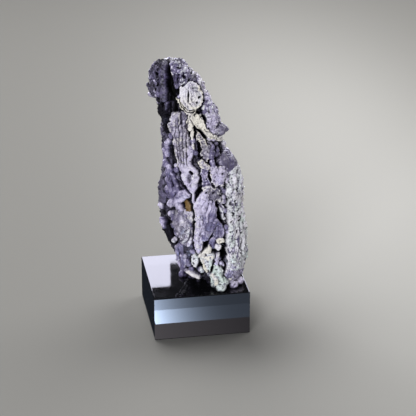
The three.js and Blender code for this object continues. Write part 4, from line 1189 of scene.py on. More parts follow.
@dataclass(frozen=True)
class Fade:
    """A change that sets in over a span of heights: where it starts, where it is full, and how strong it is then."""

    start: float
    full: float
    strength: float

    def at(self, h: Array) -> Array:
        """How strong the change is at heights."""
        return self.strength * smooth(self.start, self.full, h)


@dataclass(frozen=True)
class Layers:
    """How high the layers of the relief's grain stand, in millimetres, and the share of a dome that is level."""

    strands: float = 1.5
    ridges: float = 1.2
    strand_ends: float = 0.45
    swell: float = 0.6
    bunches: float = 1.65
    grapes: float = 0.8
    crags: float = 1.3
    chips: float = 1.6
    nicks: float = 0.4
    level: float = 0.6


TRUNK_LAYERS = Layers()
GROWTH_LAYERS = Layers(bunches=1.15, grapes=0.4, swell=0.22, level=0.62)
CHIPPED = Fade(15, 55, 1)  # the stone is chipped above the foot
TOP_SHADE = Fade(178.5, 182, 0.55)  # the crown's upper edge is darker
FOOT_SHADE = Fade(45, 30, 0.06)  # the foot is a little darker
FOOT_CALM = Fade(42, 28, 0.35)  # the painted shade in the foot's creases is weaker


@dataclass(frozen=True)
class TrunkPiece:
    """A length of the near or far half of the trunk: an arc of its outer surface, with relief, closed inside."""

    side: Side
    low: float
    high: float
    rings: int
    arc: int
    wall: int = 14
    lap: float = math.radians(5)  # how far the half runs on past its own half turn
    tuck: float = 1.6  # how deep a run-on dips under its neighbour
    dive: float = 0.0  # length at the upper end that dips under the piece above
    bed: float = 3.4  # depth of the ground under the near side's plates, which is painted near black as shade
    valley: float = 0.9  # depth of the far side's ground between its ribs

    def relief(self, base: Array, out: Array, angle: Array) -> tuple:
        """Height of the relief over the smooth trunk: strands, then plates and ribs, flutes, bunches, fine grapes and
        chips, then clefts and pits.

        Args:
            base: places on the smooth trunk.
            out: outward directions there.
            angle: turns of the places.

        Returns:
            Height, tone, roughness and the nearest grape's random number at each place.
        """
        far = smooth(0.0, 0.4, np.sin(angle))
        grain = TRUNK_LAYERS
        far = smooth(0.0, 0.4, np.sin(angle))
        patch = PATCHES.at(base, far)
        # The near side's bare ground is tinted most of the way to near black: painted shade in the gaps between plates
        # and ribs.
        tone, rough = tinted(patch[:, :5], 0.8 * (1 - far), Hue.DEEP), patch[:, 5].copy()
        strand, _ = grape_coat(base * np.array([1, 1, 0.24]), *Noise.STRAND.value)
        ridge, _ = grape_coat(base * np.array([1, 1, 0.45]), *Noise.RIDGE.value)
        height = (grain.strands * (strand - grain.level) * (1.1 - 0.5 * rough)
                  + grain.ridges * (ridge - grain.level))
        height -= self.valley + (self.bed - self.valley) * smooth(0.1, 0.5, -np.sin(angle))
        moves = RIDGES.stray(base)
        relief = Relief(base, out, far, moves, height, tone, rough)
        RIDGES.raise_plates(RIDGES.low_plates, relief)
        RIDGES.raise_ribs(RIDGES.ribs, relief)
        RIDGES.raise_plates(RIDGES.high_plates, relief)
        RIDGES.raise_ribs(RIDGES.folds, relief)
        RIDGES.cut_flutes(relief)
        height += grain.strand_ends * (strand - grain.level) + grain.swell * drift(base, *Noise.SWELL.value)
        bunch, tag = grape_coat(base + out * height[:, None], *Noise.BUNCH.value)
        fine, _ = grape_coat(base + out * height[:, None], *Noise.GRAPE.value)
        chip = drift((base + 0.6 * moves) * np.array([1, 1, 0.7]), *Noise.CHIP.value)
        nick = drift(base + 0.4 * moves, *Noise.NICK.value)
        crag = np.abs(drift((base + 0.5 * moves) * np.array([1, 1, 0.6]), *Noise.CRAG.value)) - 0.3
        height += (grain.bunches * (bunch - grain.level) * (0.1 + 0.9 * rough)
                   + grain.grapes * (fine - grain.level) * (0.1 + 0.9 * rough))
        height += grain.crags * crag * (0.25 + 0.75 * rough)
        broken = grain.chips * smooth(0.4, 0.8, chip) + grain.nicks * smooth(0.3, 0.8, nick)
        height -= rough**2 * broken * CHIPPED.at(base[:, 2])
        hole = RIDGES.sink_pits(base, moves, far)
        cut = RIDGES.sunk(base, moves, far)
        # Pits and clefts are tinted towards near black: painted shade.
        dark = np.maximum(smooth(0.5, 3.0, hole), 0.7 * smooth(0.6, 4.0, cut))
        height -= np.maximum(hole, cut)
        fade = np.minimum(1, np.maximum(FORM.value(4, base[:, 2]), 0.5) / 9)
        return height * fade, tinted(relief.tone, 0.9 * dark, Hue.DEEP), rough, tag

    def skin(self) -> Skin:
        """The piece's surface on a grid of turn and height.

        Returns:
            The skin: the arc moved along its outward directions by the relief, and a straight wall back to its start.
        """
        start = np.pi if self.side is Side.NEAR else 0.0
        turn = np.linspace(start - self.lap, start + np.pi + self.lap, self.arc)
        past = np.maximum(start - turn, turn - start - np.pi)
        begin = self.lap / 2 if self.side is Side.NEAR else 0.0
        angle, h = np.meshgrid(turn, np.linspace(self.low, self.high, self.rings))
        dip = self.tuck * smooth(begin, self.lap, past)
        if self.dive:
            dip = np.maximum(dip, self.tuck * smooth(self.high - 0.8 * self.dive, self.high, h))
        flat_angle, flat_h = angle.ravel(), h.ravel()
        base, out = FORM.point(flat_angle, flat_h), FORM.normal(flat_angle, flat_h)
        height, tone, rough, tag = self.relief(base, out, flat_angle)
        grid = height.reshape(self.rings, self.arc)
        crease_shade, crest_highlight = self.crease_shade(grid)
        moved = (base + out * (grid - dip).reshape(-1, 1)).reshape(self.rings, self.arc, 3)
        moved[..., 2] = np.maximum(moved[..., 2], 0)
        share = np.linspace(0, 1, self.wall + 2)[1:-1][None, :, None]
        wall = moved[:, -1:] * (1 - share) + moved[:, :1] * share
        ring = np.concatenate([moved, wall], 1).reshape(-1, 3)
        middle = np.repeat(moved.mean(1), self.arc + self.wall, 0)
        centre = np.repeat(FORM.centre(h[:, 0])[:, None], self.arc + self.wall, 1).reshape(-1, 3)
        ends = np.stack([middle[0], middle[-1] + np.array([0, 0, 0.0 if self.dive else 0.4])])
        points = np.concatenate([ends[:1], ring, ends[1:]])

        def spread(values: Array) -> Array:
            """Values of the arc's grid, carried over the wall and the poles.

            Args:
                values: one row for each place of the arc.

            Returns:
                One row for each point of the skin.
            """
            rows = values.reshape(self.rings, self.arc, -1)
            rows = np.concatenate([rows, np.repeat(rows[:, :1], self.wall, 1)], 1).reshape(-1, rows.shape[-1])
            return np.concatenate([rows[:1], rows, rows[-1:]])

        tone = mottled(tone, tag, base)
        tone[:, LIGHT] *= (1 - TOP_SHADE.at(flat_h)) * (1 - FOOT_SHADE.at(flat_h))
        crease_shade = 1 - (1 - crease_shade) * (1 - FOOT_CALM.at(flat_h))
        shown = smooth(0.1, 0.35, tone[:, LIGHT])
        # On proud edges the crust grows and the stone is lighter, partly pale crust and partly painted highlight; in
        # creases the crust thins, as painted shade.
        tone[:, CRUST] = np.clip(tone[:, CRUST] + shown * (0.42 * crest_highlight * rough - 0.4 * (1 - crease_shade)), 0, 1)
        tone[:, LIGHT] = np.clip(tone[:, LIGHT] + 0.18 * shown * crest_highlight, 0, 1)
        return Skin(points, np.concatenate([centre[:1], centre, centre[-1:]]),
                    tube_faces(self.rings, self.arc + self.wall), spread(tone), spread(0.35 + 0.65 * rough)[:, 0],
                    spread(crease_shade)[:, 0])

    @staticmethod
    def crease_shade(grid: Array) -> tuple[Array, Array]:
        """How open and how proud each place of the relief is: its height against the mean height around it, for painted
        shade in creases and a painted highlight on proud edges.

        Args:
            grid: heights on the grid of rings and turns.

        Returns:
            Openness, 0 in a deep crease to 1 on open stone, which sets painted shade, and crest, 0 to 1 on a proud
            edge, which sets a painted highlight, each as one row.
        """
        value = np.ones(grid.shape)
        near, wide = box_blurred(grid, 2), box_blurred(grid, 7)
        for mean, start, end, strength in ((near, 0.05, 0.6, 0.42), (wide, 0.25, 2.0, 0.7)):
            value *= 1 - strength * smooth(start, end, mean - grid)
        crest_highlight = smooth(0.15, 0.8, grid - near) * 0.6 + 0.4 * smooth(0.3, 1.4, grid - wide)
        return value.ravel(), crest_highlight.ravel()


def grown(points: Array, away: Array, core: Array, faces: Array, hue: Hue, rough: float,
          size: float, side: Side, own: float) -> Skin:
    """A growth's skin, with its coat of grapes and its tone.

    Args:
        points: places of the bare growth.
        away: outward directions.
        core: inner point under each place.
        faces: triangles.
        hue: the growth's own finish.
        rough: how strong the coat of grapes is, 0 to 1.
        size: how thick the growth is, as a share of the usual one.
        side: side of the trunk.
        own: share of its own finish against its zone's.

    Returns:
        The skin, which ends level on the block's top.
    """
    grain = GROWTH_LAYERS
    bunch, tag = grape_coat(points, *Noise.GROWTH_BUNCH.value)
    fine, _ = grape_coat(points, *Noise.GROWTH_GRAPE.value)
    swell = drift(points, *Noise.GROWTH_SWELL.value)
    relief = size * (grain.bunches * rough * (bunch - grain.level)
                     + grain.grapes * (0.15 + 0.85 * rough) * (fine - grain.level) + grain.swell * swell)
    far = np.full(len(points), float(side is Side.FAR))
    hole = RIDGES.sink_pits(points, RIDGES.stray(points), far)
    moved = points + away * (relief - np.minimum(hole, 0.7 * np.linalg.norm(points - core, axis=1)))[:, None]
    moved[:, 2] = np.maximum(moved[:, 2], 0)
    zone = PATCHES.at(points, far)[:, :5]
    # Pits are tinted towards near black, and the gaps between bunches and grapes lose openness: both painted shade.
    tone = tinted(own * hue.value.row() + (1 - own) * zone, 0.9 * smooth(0.3, 2.0, hole), Hue.DEEP)
    crease_shade = 1 - (0.1 + 0.35 * rough) * smooth(0.5, 0.1, bunch) - 0.3 * rough * smooth(0.5, 0.1, fine)
    return Skin(moved, core, faces, mottled(tone, 0.5 + (tag - 0.5) * (0.3 + 0.7 * rough), points),
                np.full(len(points), 0.15 + 0.85 * rough), crease_shade)


def unit_ball(rings: int, sides: int) -> tuple[Array, Array]:
    """A ball of radius 1 by rings of equal turn between two poles.

    Args:
        rings: number of rings.
        sides: number of points in a ring.

    Returns:
        Its points and its triangles.
    """
    rise = np.linspace(-np.pi / 2, np.pi / 2, rings + 2)[1:-1]
    turn = 2 * np.pi * np.arange(sides) / sides
    ring = np.stack([np.cos(rise)[:, None] * np.cos(turn), np.cos(rise)[:, None] * np.sin(turn),
                     np.sin(rise)[:, None] + 0 * turn], -1)
    points = np.concatenate([[[0, 0, -1]], ring.reshape(-1, 3), [[0, 0, 1]]])
    return points, tube_faces(rings, sides)


GRAPE_PITCH = 0.62  # length between the points of a ball's skin
GRAPE_SIDES = (14, 76)  # least and most points round a ball
FULL_COAT = 2.4  # half width of a ball from which its coat stands at full height


@dataclass(frozen=True)
class Grape:
    """One ball or mound of the stone: middle and three half sizes in (s, d, h)."""

    middle: Array
    across: float
    deep: float
    high: float
    hue: Hue
    rough: float = 0.35
    side: Side = Side.NEAR
    own: float = 0.8

    @staticmethod
    def on_trunk(s: float, h: float, radius: float, hue: Hue, side: Side = Side.NEAR, own: float = 0.8,
                 lift: float = 0.0) -> "Grape":
        """A ball that stands proud of the trunk's face, sunk by a share of its radius.

        Args:
            s: place across.
            h: height.
            radius: its radius.
            hue: its finish.
            side: side of the trunk.
            own: share of its own finish against its zone's.
            lift: how far it is lifted, on to a plate.

        Returns:
            The ball.
        """
        place, out = FORM.on_face(np.array([float(s)]), np.array([float(h)]), side)
        return Grape((place + out * (lift - radius * GRAPE_SINK))[0], radius, radius, radius, hue, 0.35, side, own)

    def skin(self) -> Skin:
        """The ball's surface on a grid of rise and turn.

        Returns:
            The skin, stretched by the ball's half sizes.
        """
        sides = int(np.clip(round(2 * np.pi * self.across / GRAPE_PITCH), *GRAPE_SIDES))
        ball, faces = unit_ball(max(7, sides // 2), sides)
        half = np.array([self.across, self.deep, self.high])
        points = self.middle + ball * half
        return grown(points, unit(ball / half), np.tile(self.middle, (len(ball), 1)), faces, self.hue, self.rough,
                     min(1.0, self.across / FULL_COAT), self.side, self.own)


DRAW_STEP = 16807  # multiplier of the fields' draws
DRAW_CYCLE = 2147483647  # and what they are taken modulo: 2^31 - 1


def scattered_grapes() -> list[Grape]:
    """The seeded fields of balls, drawn one after another.

    Returns:
        The balls of all the fields.
    """
    state = GRAPE_SEED
    balls = []
    for count, side, across, height, radius in GRAPE_FIELDS:
        for _ in range(count):
            draws = []
            for low, high in (height, across, radius):
                state = (state * DRAW_STEP) % DRAW_CYCLE
                draws.append(low + (high - low) * state / DRAW_CYCLE)
            h, share, size = draws
            s = float(FORM.value(1, np.array(h)) + share * FORM.value(2, np.array(h)))
            balls.append(Grape.on_trunk(s, h, size, Hue.LILAC, side, 0.2))
    return balls


@dataclass(frozen=True)
class SmallGrapes:
    """The loose coat of small balls, seeded over the skin where it is rough and open."""

    count: int = 2200
    radius: tuple = (0.55, 1.25)
    seed: int = 5
    sink: float = 0.25  # of the radius
    clearance: float = 0.0006  # how far past the model's right side a ball's middle may stand, metres
    foot: float = 1.5  # height over the block where they start

    def skin(self, ground: Skin, out: Array, openness: Array) -> Skin:
        """Small balls at random points of the ground.

        Args:
            ground: skin that they grow on.
            out: outward directions at its points.
            openness: how open each point is, 0 to 1.

        Returns:
            All the balls as one skin.
        """
        chance = np.random.default_rng(self.seed)
        weight = (ground.grip ** 1.5 * smooth(0.35, 0.8, openness) + 1e-6) * (ground.points[:, 2] > self.foot)
        weight = weight * (to_frame(ground.points)[:, 0] < CAD_BOX[1][0] + self.clearance)
        pick = chance.choice(len(weight), self.count, replace=False, p=weight / weight.sum())
        radius = self.radius[0] + (self.radius[1] - self.radius[0]) * chance.random(self.count) ** 2
        middle = ground.points[pick] - out[pick] * (radius * self.sink)[:, None]
        ball, faces = unit_ball(4, 7)
        stretch = 1 + 0.25 * (chance.random((self.count, 1, 3)) - 0.5)
        points = middle[:, None] + ball[None] * radius[:, None, None] * stretch
        points[..., 2] = np.maximum(points[..., 2], 0)
        tone = np.repeat(ground.tone[pick], len(ball), 0)
        # Some balls are made lighter at random: partly a tone that differs from ball to ball, partly painted glints for
        # the stone's sparkle.
        lift = np.repeat(0.85 + 0.75 * chance.random(self.count) ** 2, len(ball))
        tone[:, LIGHT] = np.clip(tone[:, LIGHT] * lift, 0, 1)
        start = len(ball) * np.arange(self.count)[:, None, None]
        return Skin(points.reshape(-1, 3), np.repeat(middle, len(ball), 0), (faces[None] + start).reshape(-1, 3),
                    tone, np.zeros(self.count * len(ball)), np.ones(self.count * len(ball)))


# ==== Hollows: how open each point of the stone is ====


@dataclass
class Hollows:
    """Blocks of small cells, full where there is stone, that tell how far a point is shut in by its neighbours, for
    painted shade.
    """

    pitch: float = 0.8
    low: Array = field(default_factory=lambda: np.array([-52.0, -52.0, -12.0]))
    high: Array = field(default_factory=lambda: np.array([58.0, 52.0, 198.0]))
    reaches: tuple = ((1, 0.9), (3, 2.3), (8, 5.5))  # half width of the blur in cells, height of the look-out
    limits: tuple = ((0.42, 0.95), (0.34, 0.86), (0.26, 0.72))  # share of stone where it starts to dim, and is shut in
    strength: tuple = (0.45, 0.75, 0.6)
    layers: list = field(default_factory=list)

    def cells(self, points: Array) -> tuple:
        """Cell numbers of points along the three axes.

        Args:
            points: places, (..., 3).

        Returns:
            Three arrays of whole numbers.
        """
        shape = np.ceil((self.high - self.low) / self.pitch).astype(int)
        at = np.clip(((points - self.low) / self.pitch).astype(int), 0, shape - 1)
        return at[..., 0], at[..., 1], at[..., 2]

    def fill(self, skins: list[Skin]) -> None:
        """Fills the cells between each skin and its core, and those of the block, then blurs them.

        Args:
            skins: the skins of the stone.
        """
        shape = np.ceil((self.high - self.low) / self.pitch).astype(int)
        full = np.zeros(shape, np.float32)
        for skin in skins:
            widest = np.linalg.norm(skin.points - skin.core, axis=1).max()
            for share in np.linspace(0, 1, int(widest / (0.8 * self.pitch)) + 2):
                full[self.cells(skin.core + share * (skin.points - skin.core))] = 1
        full[:, :, : int(-self.low[2] / self.pitch)] = 1
        self.layers = [box_blurred(full, reach) for reach, _ in self.reaches]

    def openness(self, points: Array, out: Array) -> Array:
        """How open points are: the share of stone just above each, seen at three widths.

        Args:
            points: places, (n, 3).
            out: outward directions there.

        Returns:
            Openness of each point, 0 to 1.
        """
        value = np.ones(len(points))
        for layer, (_, lift), (start, end), strength in zip(self.layers, self.reaches, self.limits, self.strength):
            stone = layer[self.cells(points + out * lift)]
            value *= 1 - strength * smooth(start, end, stone)
        return value


# ==== Finishes ====


def colour(red: int, green: int, blue: int) -> tuple[float, float, float, float]:
    """A colour given in display steps of 0 to 255, in linear light: ((v + 0.055) / 1.055)^2.4 above the toe."""
    shares = (v / 255 for v in (red, green, blue))
    return (*(v / 12.92 if v < 0.04045 else ((v + 0.055) / 1.055) ** 2.4 for v in shares), 1.0)


Socket = bpy.types.NodeSocket


@dataclass
class Bench:
    """A node tree being wired, with short calls for the nodes that it needs."""

    tree: bpy.types.NodeTree

    def put(self, kind: str, inputs: dict | None = None, **options: object) -> bpy.types.Node:
        """Adds a node.

        Args:
            kind: the node's type.
            inputs: sockets by name or number, each a value or a socket to link from.
            options: the node's own settings.

        Returns:
            The node.
        """
        node = self.tree.nodes.new(kind)
        for name, value in options.items():
            setattr(node, name, value)
        for key, value in (inputs or {}).items():
            if isinstance(value, Socket):
                self.tree.links.new(value, node.inputs[key])
            else:
                node.inputs[key].default_value = value
        return node

    def math(self, operation: str, a: object, b: object = 0.0, c: object = 0.0) -> Socket:
        """Output of a sum on values or sockets."""
        return self.put("ShaderNodeMath", {0: a, 1: b, 2: c}, operation=operation).outputs[0]

    def blend(self, share: object, first: object, second: object) -> Socket:
        """Colour mixed from the first to the second by a share."""
        node = self.put("ShaderNodeMix", {0: share, 6: first, 7: second}, data_type="RGBA")
        return node.outputs[2]

    def link(self, source: Socket, target: Socket) -> None:
        """Links an output to an input."""
        self.tree.links.new(source, target)

    def noise(self, place: Socket, scale: object, detail: float) -> Socket:
        """Clouds of noise over space."""
        return self.put("ShaderNodeTexNoise", {"Vector": place, "Scale": scale, "Detail": detail}).outputs[0]

    def vector(self, operation: str, first: object, second: object) -> bpy.types.Node:
        """A node that works on two vectors."""
        return self.put("ShaderNodeVectorMath", {0: first, 1: second}, operation=operation)

    def times(self, first: object, second: object) -> Socket:
        """Product of two colours."""
        node = self.put("ShaderNodeMix", {0: 1.0, 6: first, 7: second}, data_type="RGBA", blend_type="MULTIPLY")
        return node.outputs[2]

    def ramp(self, value: object, low: float, high: float, start: float = 0.0,
             end: float = 1.0) -> Socket:
        """Value carried softly from low..high to start..end."""
        return self.put("ShaderNodeMapRange", {0: value, 1: low, 2: high, 3: start, 4: end},
                        interpolation_type="SMOOTHSTEP").outputs[0]


def new_group(name: str, inputs: dict, outputs: dict) -> tuple[bpy.types.NodeTree, Bench, dict, bpy.types.Node]:
    """Starts a shader node group.

    Args:
        name: name of the group.
        inputs: socket names with their defaults; a number makes a value, four make a colour, three a vector.
        outputs: socket names with their socket types.

    Returns:
        The group, its bench, its input sockets by name, and its output node.
    """
    group = bpy.data.node_groups.new(name, "ShaderNodeTree")
    for key, default in inputs.items():
        kind = "NodeSocketFloat"
        if isinstance(default, tuple):
            kind = "NodeSocketColor" if len(default) == 4 else "NodeSocketVector"
        group.interface.new_socket(name=key, in_out="INPUT", socket_type=kind).default_value = default
    for key, kind in outputs.items():
        group.interface.new_socket(name=key, in_out="OUTPUT", socket_type=kind)
    bench = Bench(group)
    return group, bench, bench.put("NodeGroupInput").outputs, bench.put("NodeGroupOutput")


def new_material(name: str) -> tuple[bpy.types.Material, Bench, bpy.types.Node]:
    """Starts a material.

    Args:
        name: name of the material.

    Returns:
        The material, its bench, and its Principled shader.
    """
    material = bpy.data.materials.new(name)
    material.use_nodes = True
    bench = Bench(material.node_tree)
    return material, bench, material.node_tree.nodes["Principled BSDF"]


@dataclass(frozen=True)
class AgateFinish:
    """Waxy violet stone, greyer in places, under a dry pale crust, with iron stain, and with painted shade in its
    hollows and creases.
    """

    # The colour that hollows and creases are darkened towards: painted shade.
    painted_shade: tuple = colour(38, 33, 50)
    violet: tuple = (colour(18, 15, 27), colour(98, 90, 130), colour(206, 198, 230))
    grey: tuple = (colour(18, 16, 21), colour(104, 99, 111), colour(204, 198, 210))
    crust: tuple = colour(230, 227, 237)
    cream: tuple = colour(234, 228, 210)
    mint: tuple = colour(206, 226, 214)
    rust: tuple = colour(120, 90, 30)
    grain: float = 0.0011  # size of the crust's grain, metres
    bloom: float = 0.008  # size of the broad colour clouds, metres

    def group(self) -> bpy.types.NodeTree:
        """The stone, from its coat and body values: the light value walks from dark to pale violet or grey, the crust
        covers it in grains, stain tints it, and painted shade darkens its hollows and creases.

        Returns:
            The group, which gives colour, roughness, height of the fine relief, and wax.
        """
        names = ("Dark Violet", "Violet", "Pale Violet", "Dark Grey", "Grey", "Pale Grey")
        inputs = {"Coat": (0.0, 0.0, 0.0), "Body": (0.0, 0.0, 0.0)} | dict(zip(names, self.violet + self.grey)) | {
            "Crust": self.crust, "Cream": self.cream, "Mint": self.mint, "Rust": self.rust, "Painted Shade": self.painted_shade,
            "Grain": self.grain, "Bloom": self.bloom}
        group, bench, given, result = new_group(
            "grape_agate_stone", inputs,
            {"Color": "NodeSocketColor", "Roughness": "NodeSocketFloat", "Height": "NodeSocketFloat",
             "Wax": "NodeSocketFloat"})
        coat = bench.put("ShaderNodeSeparateXYZ", {0: given["Coat"]}).outputs
        body = bench.put("ShaderNodeSeparateXYZ", {0: given["Body"]}).outputs
        place = bench.put("ShaderNodeTexCoord").outputs["Object"]
        grain_scale = bench.math("DIVIDE", 1.0, given["Grain"])
        grain = bench.noise(place, grain_scale, 3.0)
        cloud = bench.noise(place, bench.math("DIVIDE", 1.0, given["Bloom"]), 2.0)
        pores = bench.put("ShaderNodeTexVoronoi", {"Vector": place, "Scale": grain_scale}).outputs["Distance"]
        grained, clouded = bench.math("SUBTRACT", grain, 0.5), bench.math("SUBTRACT", cloud, 0.5)
        light = bench.math("MULTIPLY_ADD", clouded, 0.3, body[1])
        light = bench.math("MULTIPLY_ADD", grained, 0.4, light)
        low, high = bench.ramp(light, 0.0, 0.55), bench.ramp(light, 0.5, 1.0)
        stones = [bench.blend(high, bench.blend(low, given[dark], given[middle]), given[pale])
                  for dark, middle, pale in (names[:3], names[3:])]
        stone = bench.blend(body[0], stones[1], stones[0])
        crust = bench.blend(bench.math("MAXIMUM", coat[1], 0.0), given["Crust"], given["Cream"])
        mint = bench.math("MAXIMUM", bench.math("MULTIPLY", coat[1], -1.0), 0.0)
        crust = bench.blend(mint, crust, given["Mint"])
        cover = bench.ramp(bench.math("MULTIPLY_ADD", grained, 0.9, coat[0]), 0.3, 0.72)
        stone = bench.blend(cover, stone, crust)
        stain = bench.ramp(bench.math("MULTIPLY_ADD", clouded, 0.5, coat[2]), 0.25, 0.7)
        stone = bench.blend(bench.math("MULTIPLY", stain, 0.9), stone, given["Rust"])
        # The body's third value is painted shade: the colour is darkened towards the shade colour in hollows and
        # creases, and the wax is thinner there.
        unshaded_share = bench.math("POWER", body[2], 1.35)
        painted_shaded = bench.times(stone, bench.blend(unshaded_share, given["Painted Shade"], (1.0, 1.0, 1.0, 1.0)))
        bench.link(painted_shaded, result.inputs["Color"])
        dry, worn = bench.ramp(cover, 0.0, 1.0, 0.34, 0.75), bench.ramp(light, 0.1, 0.4, 0.7, 0.34)
        bench.link(bench.math("MAXIMUM", dry, worn), result.inputs["Roughness"])
        height = bench.math("SUBTRACT", bench.math("MULTIPLY", grain, 0.7), bench.math("MULTIPLY", pores, 0.5))
        bench.link(height, result.inputs["Height"])
        wax = bench.math("MULTIPLY", unshaded_share, bench.ramp(light, 0.0, 0.3, 0.05, 0.9))
        wax = bench.math("MULTIPLY", wax, bench.ramp(cover, 0.0, 1.0, 1.0, 0.6))
        bench.link(wax, result.inputs["Wax"])
        return group

    def material(self) -> bpy.types.Material:
        """The stone's finish.

        Returns:
            The material, which reads each piece's coat and body values.
        """
        material, bench, shader = new_material("grape_agate")
        coat = bench.put("ShaderNodeAttribute", attribute_name="coat").outputs["Vector"]
        body = bench.put("ShaderNodeAttribute", attribute_name="body").outputs["Vector"]
        stone = bench.put("ShaderNodeGroup", node_tree=self.group())
        for source, target in ((coat, stone.inputs["Coat"]), (body, stone.inputs["Body"]),
                               (stone.outputs["Color"], shader.inputs["Base Color"]),
                               (stone.outputs["Roughness"], shader.inputs["Roughness"]),
                               (stone.outputs["Wax"], shader.inputs["Coat Weight"])):
            bench.link(source, target)
        bump = bench.put("ShaderNodeBump", {"Height": stone.outputs["Height"], "Strength": 0.8, "Distance": 0.0006})
        bench.link(bump.outputs[0], shader.inputs["Normal"])
        for socket, value in (("IOR", 1.54), ("Specular IOR Level", 0.08), ("Coat IOR", 1.54),
                              ("Coat Roughness", 0.45)):
            shader.inputs[socket].default_value = value
        return material


@dataclass(frozen=True)
class AcrylicFinish:
    """Polished black acrylic, with a faint haze, hairline rubs and specks of dust."""

    black: tuple = colour(16, 16, 19)
    dust: tuple = colour(74, 74, 80)
    haze: float = 0.02  # size of the polish's uneven patches, metres
    speck: float = 0.0022  # spacing of the dust, metres

    def group(self) -> bpy.types.NodeTree:
        """Polished plastic: specks of dust on the base colour, and a haze that wanders in patches, crossed by fine
        rubs.

        Returns:
            The group, which gives colour, roughness and height of the fine relief.
        """
        group, bench, given, result = new_group(
            "polished_wear", {"Base": self.black, "Dust": self.dust, "Haze Size": self.haze, "Speck Size": self.speck},
            {"Color": "NodeSocketColor", "Roughness": "NodeSocketFloat", "Height": "NodeSocketFloat"})
        place = bench.put("ShaderNodeTexCoord").outputs["Object"]
        haze = bench.noise(place, bench.math("DIVIDE", 1.0, given["Haze Size"]), 4.0)
        spots = bench.put("ShaderNodeTexVoronoi", {
            "Vector": place, "Scale": bench.math("DIVIDE", 1.0, given["Speck Size"])})
        pick = bench.put("ShaderNodeSeparateColor", {0: spots.outputs["Color"]}).outputs[0]
        speck = bench.math("MULTIPLY", bench.math("LESS_THAN", spots.outputs["Distance"], 0.07),
                           bench.math("GREATER_THAN", pick, 0.8))
        stretched = bench.put("ShaderNodeMapping", {"Vector": place, "Scale": (40.0, 900.0, 900.0)}).outputs[0]
        rubs = bench.noise(stretched, 1.0, 2.0)
        bench.link(bench.blend(bench.math("MULTIPLY", speck, 0.6), given["Base"], given["Dust"]), result.inputs[0])
        rough = bench.math("ADD", bench.ramp(haze, 0.35, 0.75, 0.012, 0.045), bench.math("MULTIPLY", speck, 0.3))
        bench.link(rough, result.inputs[1])
        bench.link(bench.math("ADD", bench.math("MULTIPLY", haze, 0.6), bench.math("MULTIPLY", rubs, 0.02)),
                   result.inputs[2])
        return group

    def material(self) -> bpy.types.Material:
        """The block's finish.

        Returns:
            The material.
        """
        material, bench, shader = new_material("black_acrylic")
        wear = bench.put("ShaderNodeGroup", node_tree=self.group())
        bump = bench.put("ShaderNodeBump", {"Height": wear.outputs["Height"], "Strength": 0.12, "Distance": 0.0002})
        for source, target in ((wear.outputs["Color"], "Base Color"), (wear.outputs["Roughness"], "Roughness"),
                               (bump.outputs[0], "Normal")):
            bench.link(source, shader.inputs[target])
        shader.inputs["IOR"].default_value = 1.49
        return material


# ==== Pieces ====


def to_frame(points: Array) -> Array:
    """From the show face's measures to the frame's axes: a turn by FACE_TURN about Z, and a lift on to the block.

    Args:
        points: (s, d, h) in millimetres, (..., 3).

    Returns:
        (x, y, z) in metres, (..., 3).
    """
    c, n = math.cos(FACE_TURN), math.sin(FACE_TURN)
    s, d, h = points[..., 0], points[..., 1], points[..., 2]
    return np.stack([s * c + d * n, -s * n + d * c, h + BLOCK_TOP], -1) * MM


def mesh_object(name: str, points: Array, faces: Array) -> bpy.types.Object:
    """A smooth-shaded object from places in metres and triangles.

    Args:
        name: name of the piece.
        points: places, (n, 3).
        faces: corner numbers, (m, 3).

    Returns:
        The object, linked into the scene.
    """
    mesh = bpy.data.meshes.new(name)
    mesh.vertices.add(len(points))
    mesh.vertices.foreach_set("co", np.ascontiguousarray(points, np.float32).ravel())
    mesh.loops.add(faces.size)
    mesh.loops.foreach_set("vertex_index", faces.astype(np.int32).ravel())
    mesh.polygons.add(len(faces))
    mesh.polygons.foreach_set("loop_start", np.arange(0, faces.size, 3, dtype=np.int32))
    mesh.polygons.foreach_set("use_smooth", np.ones(len(faces), bool))
    mesh.update(calc_edges=True)
    mesh.validate()
    piece = bpy.data.objects.new(name, mesh)
    bpy.context.scene.collection.objects.link(piece)
    return piece


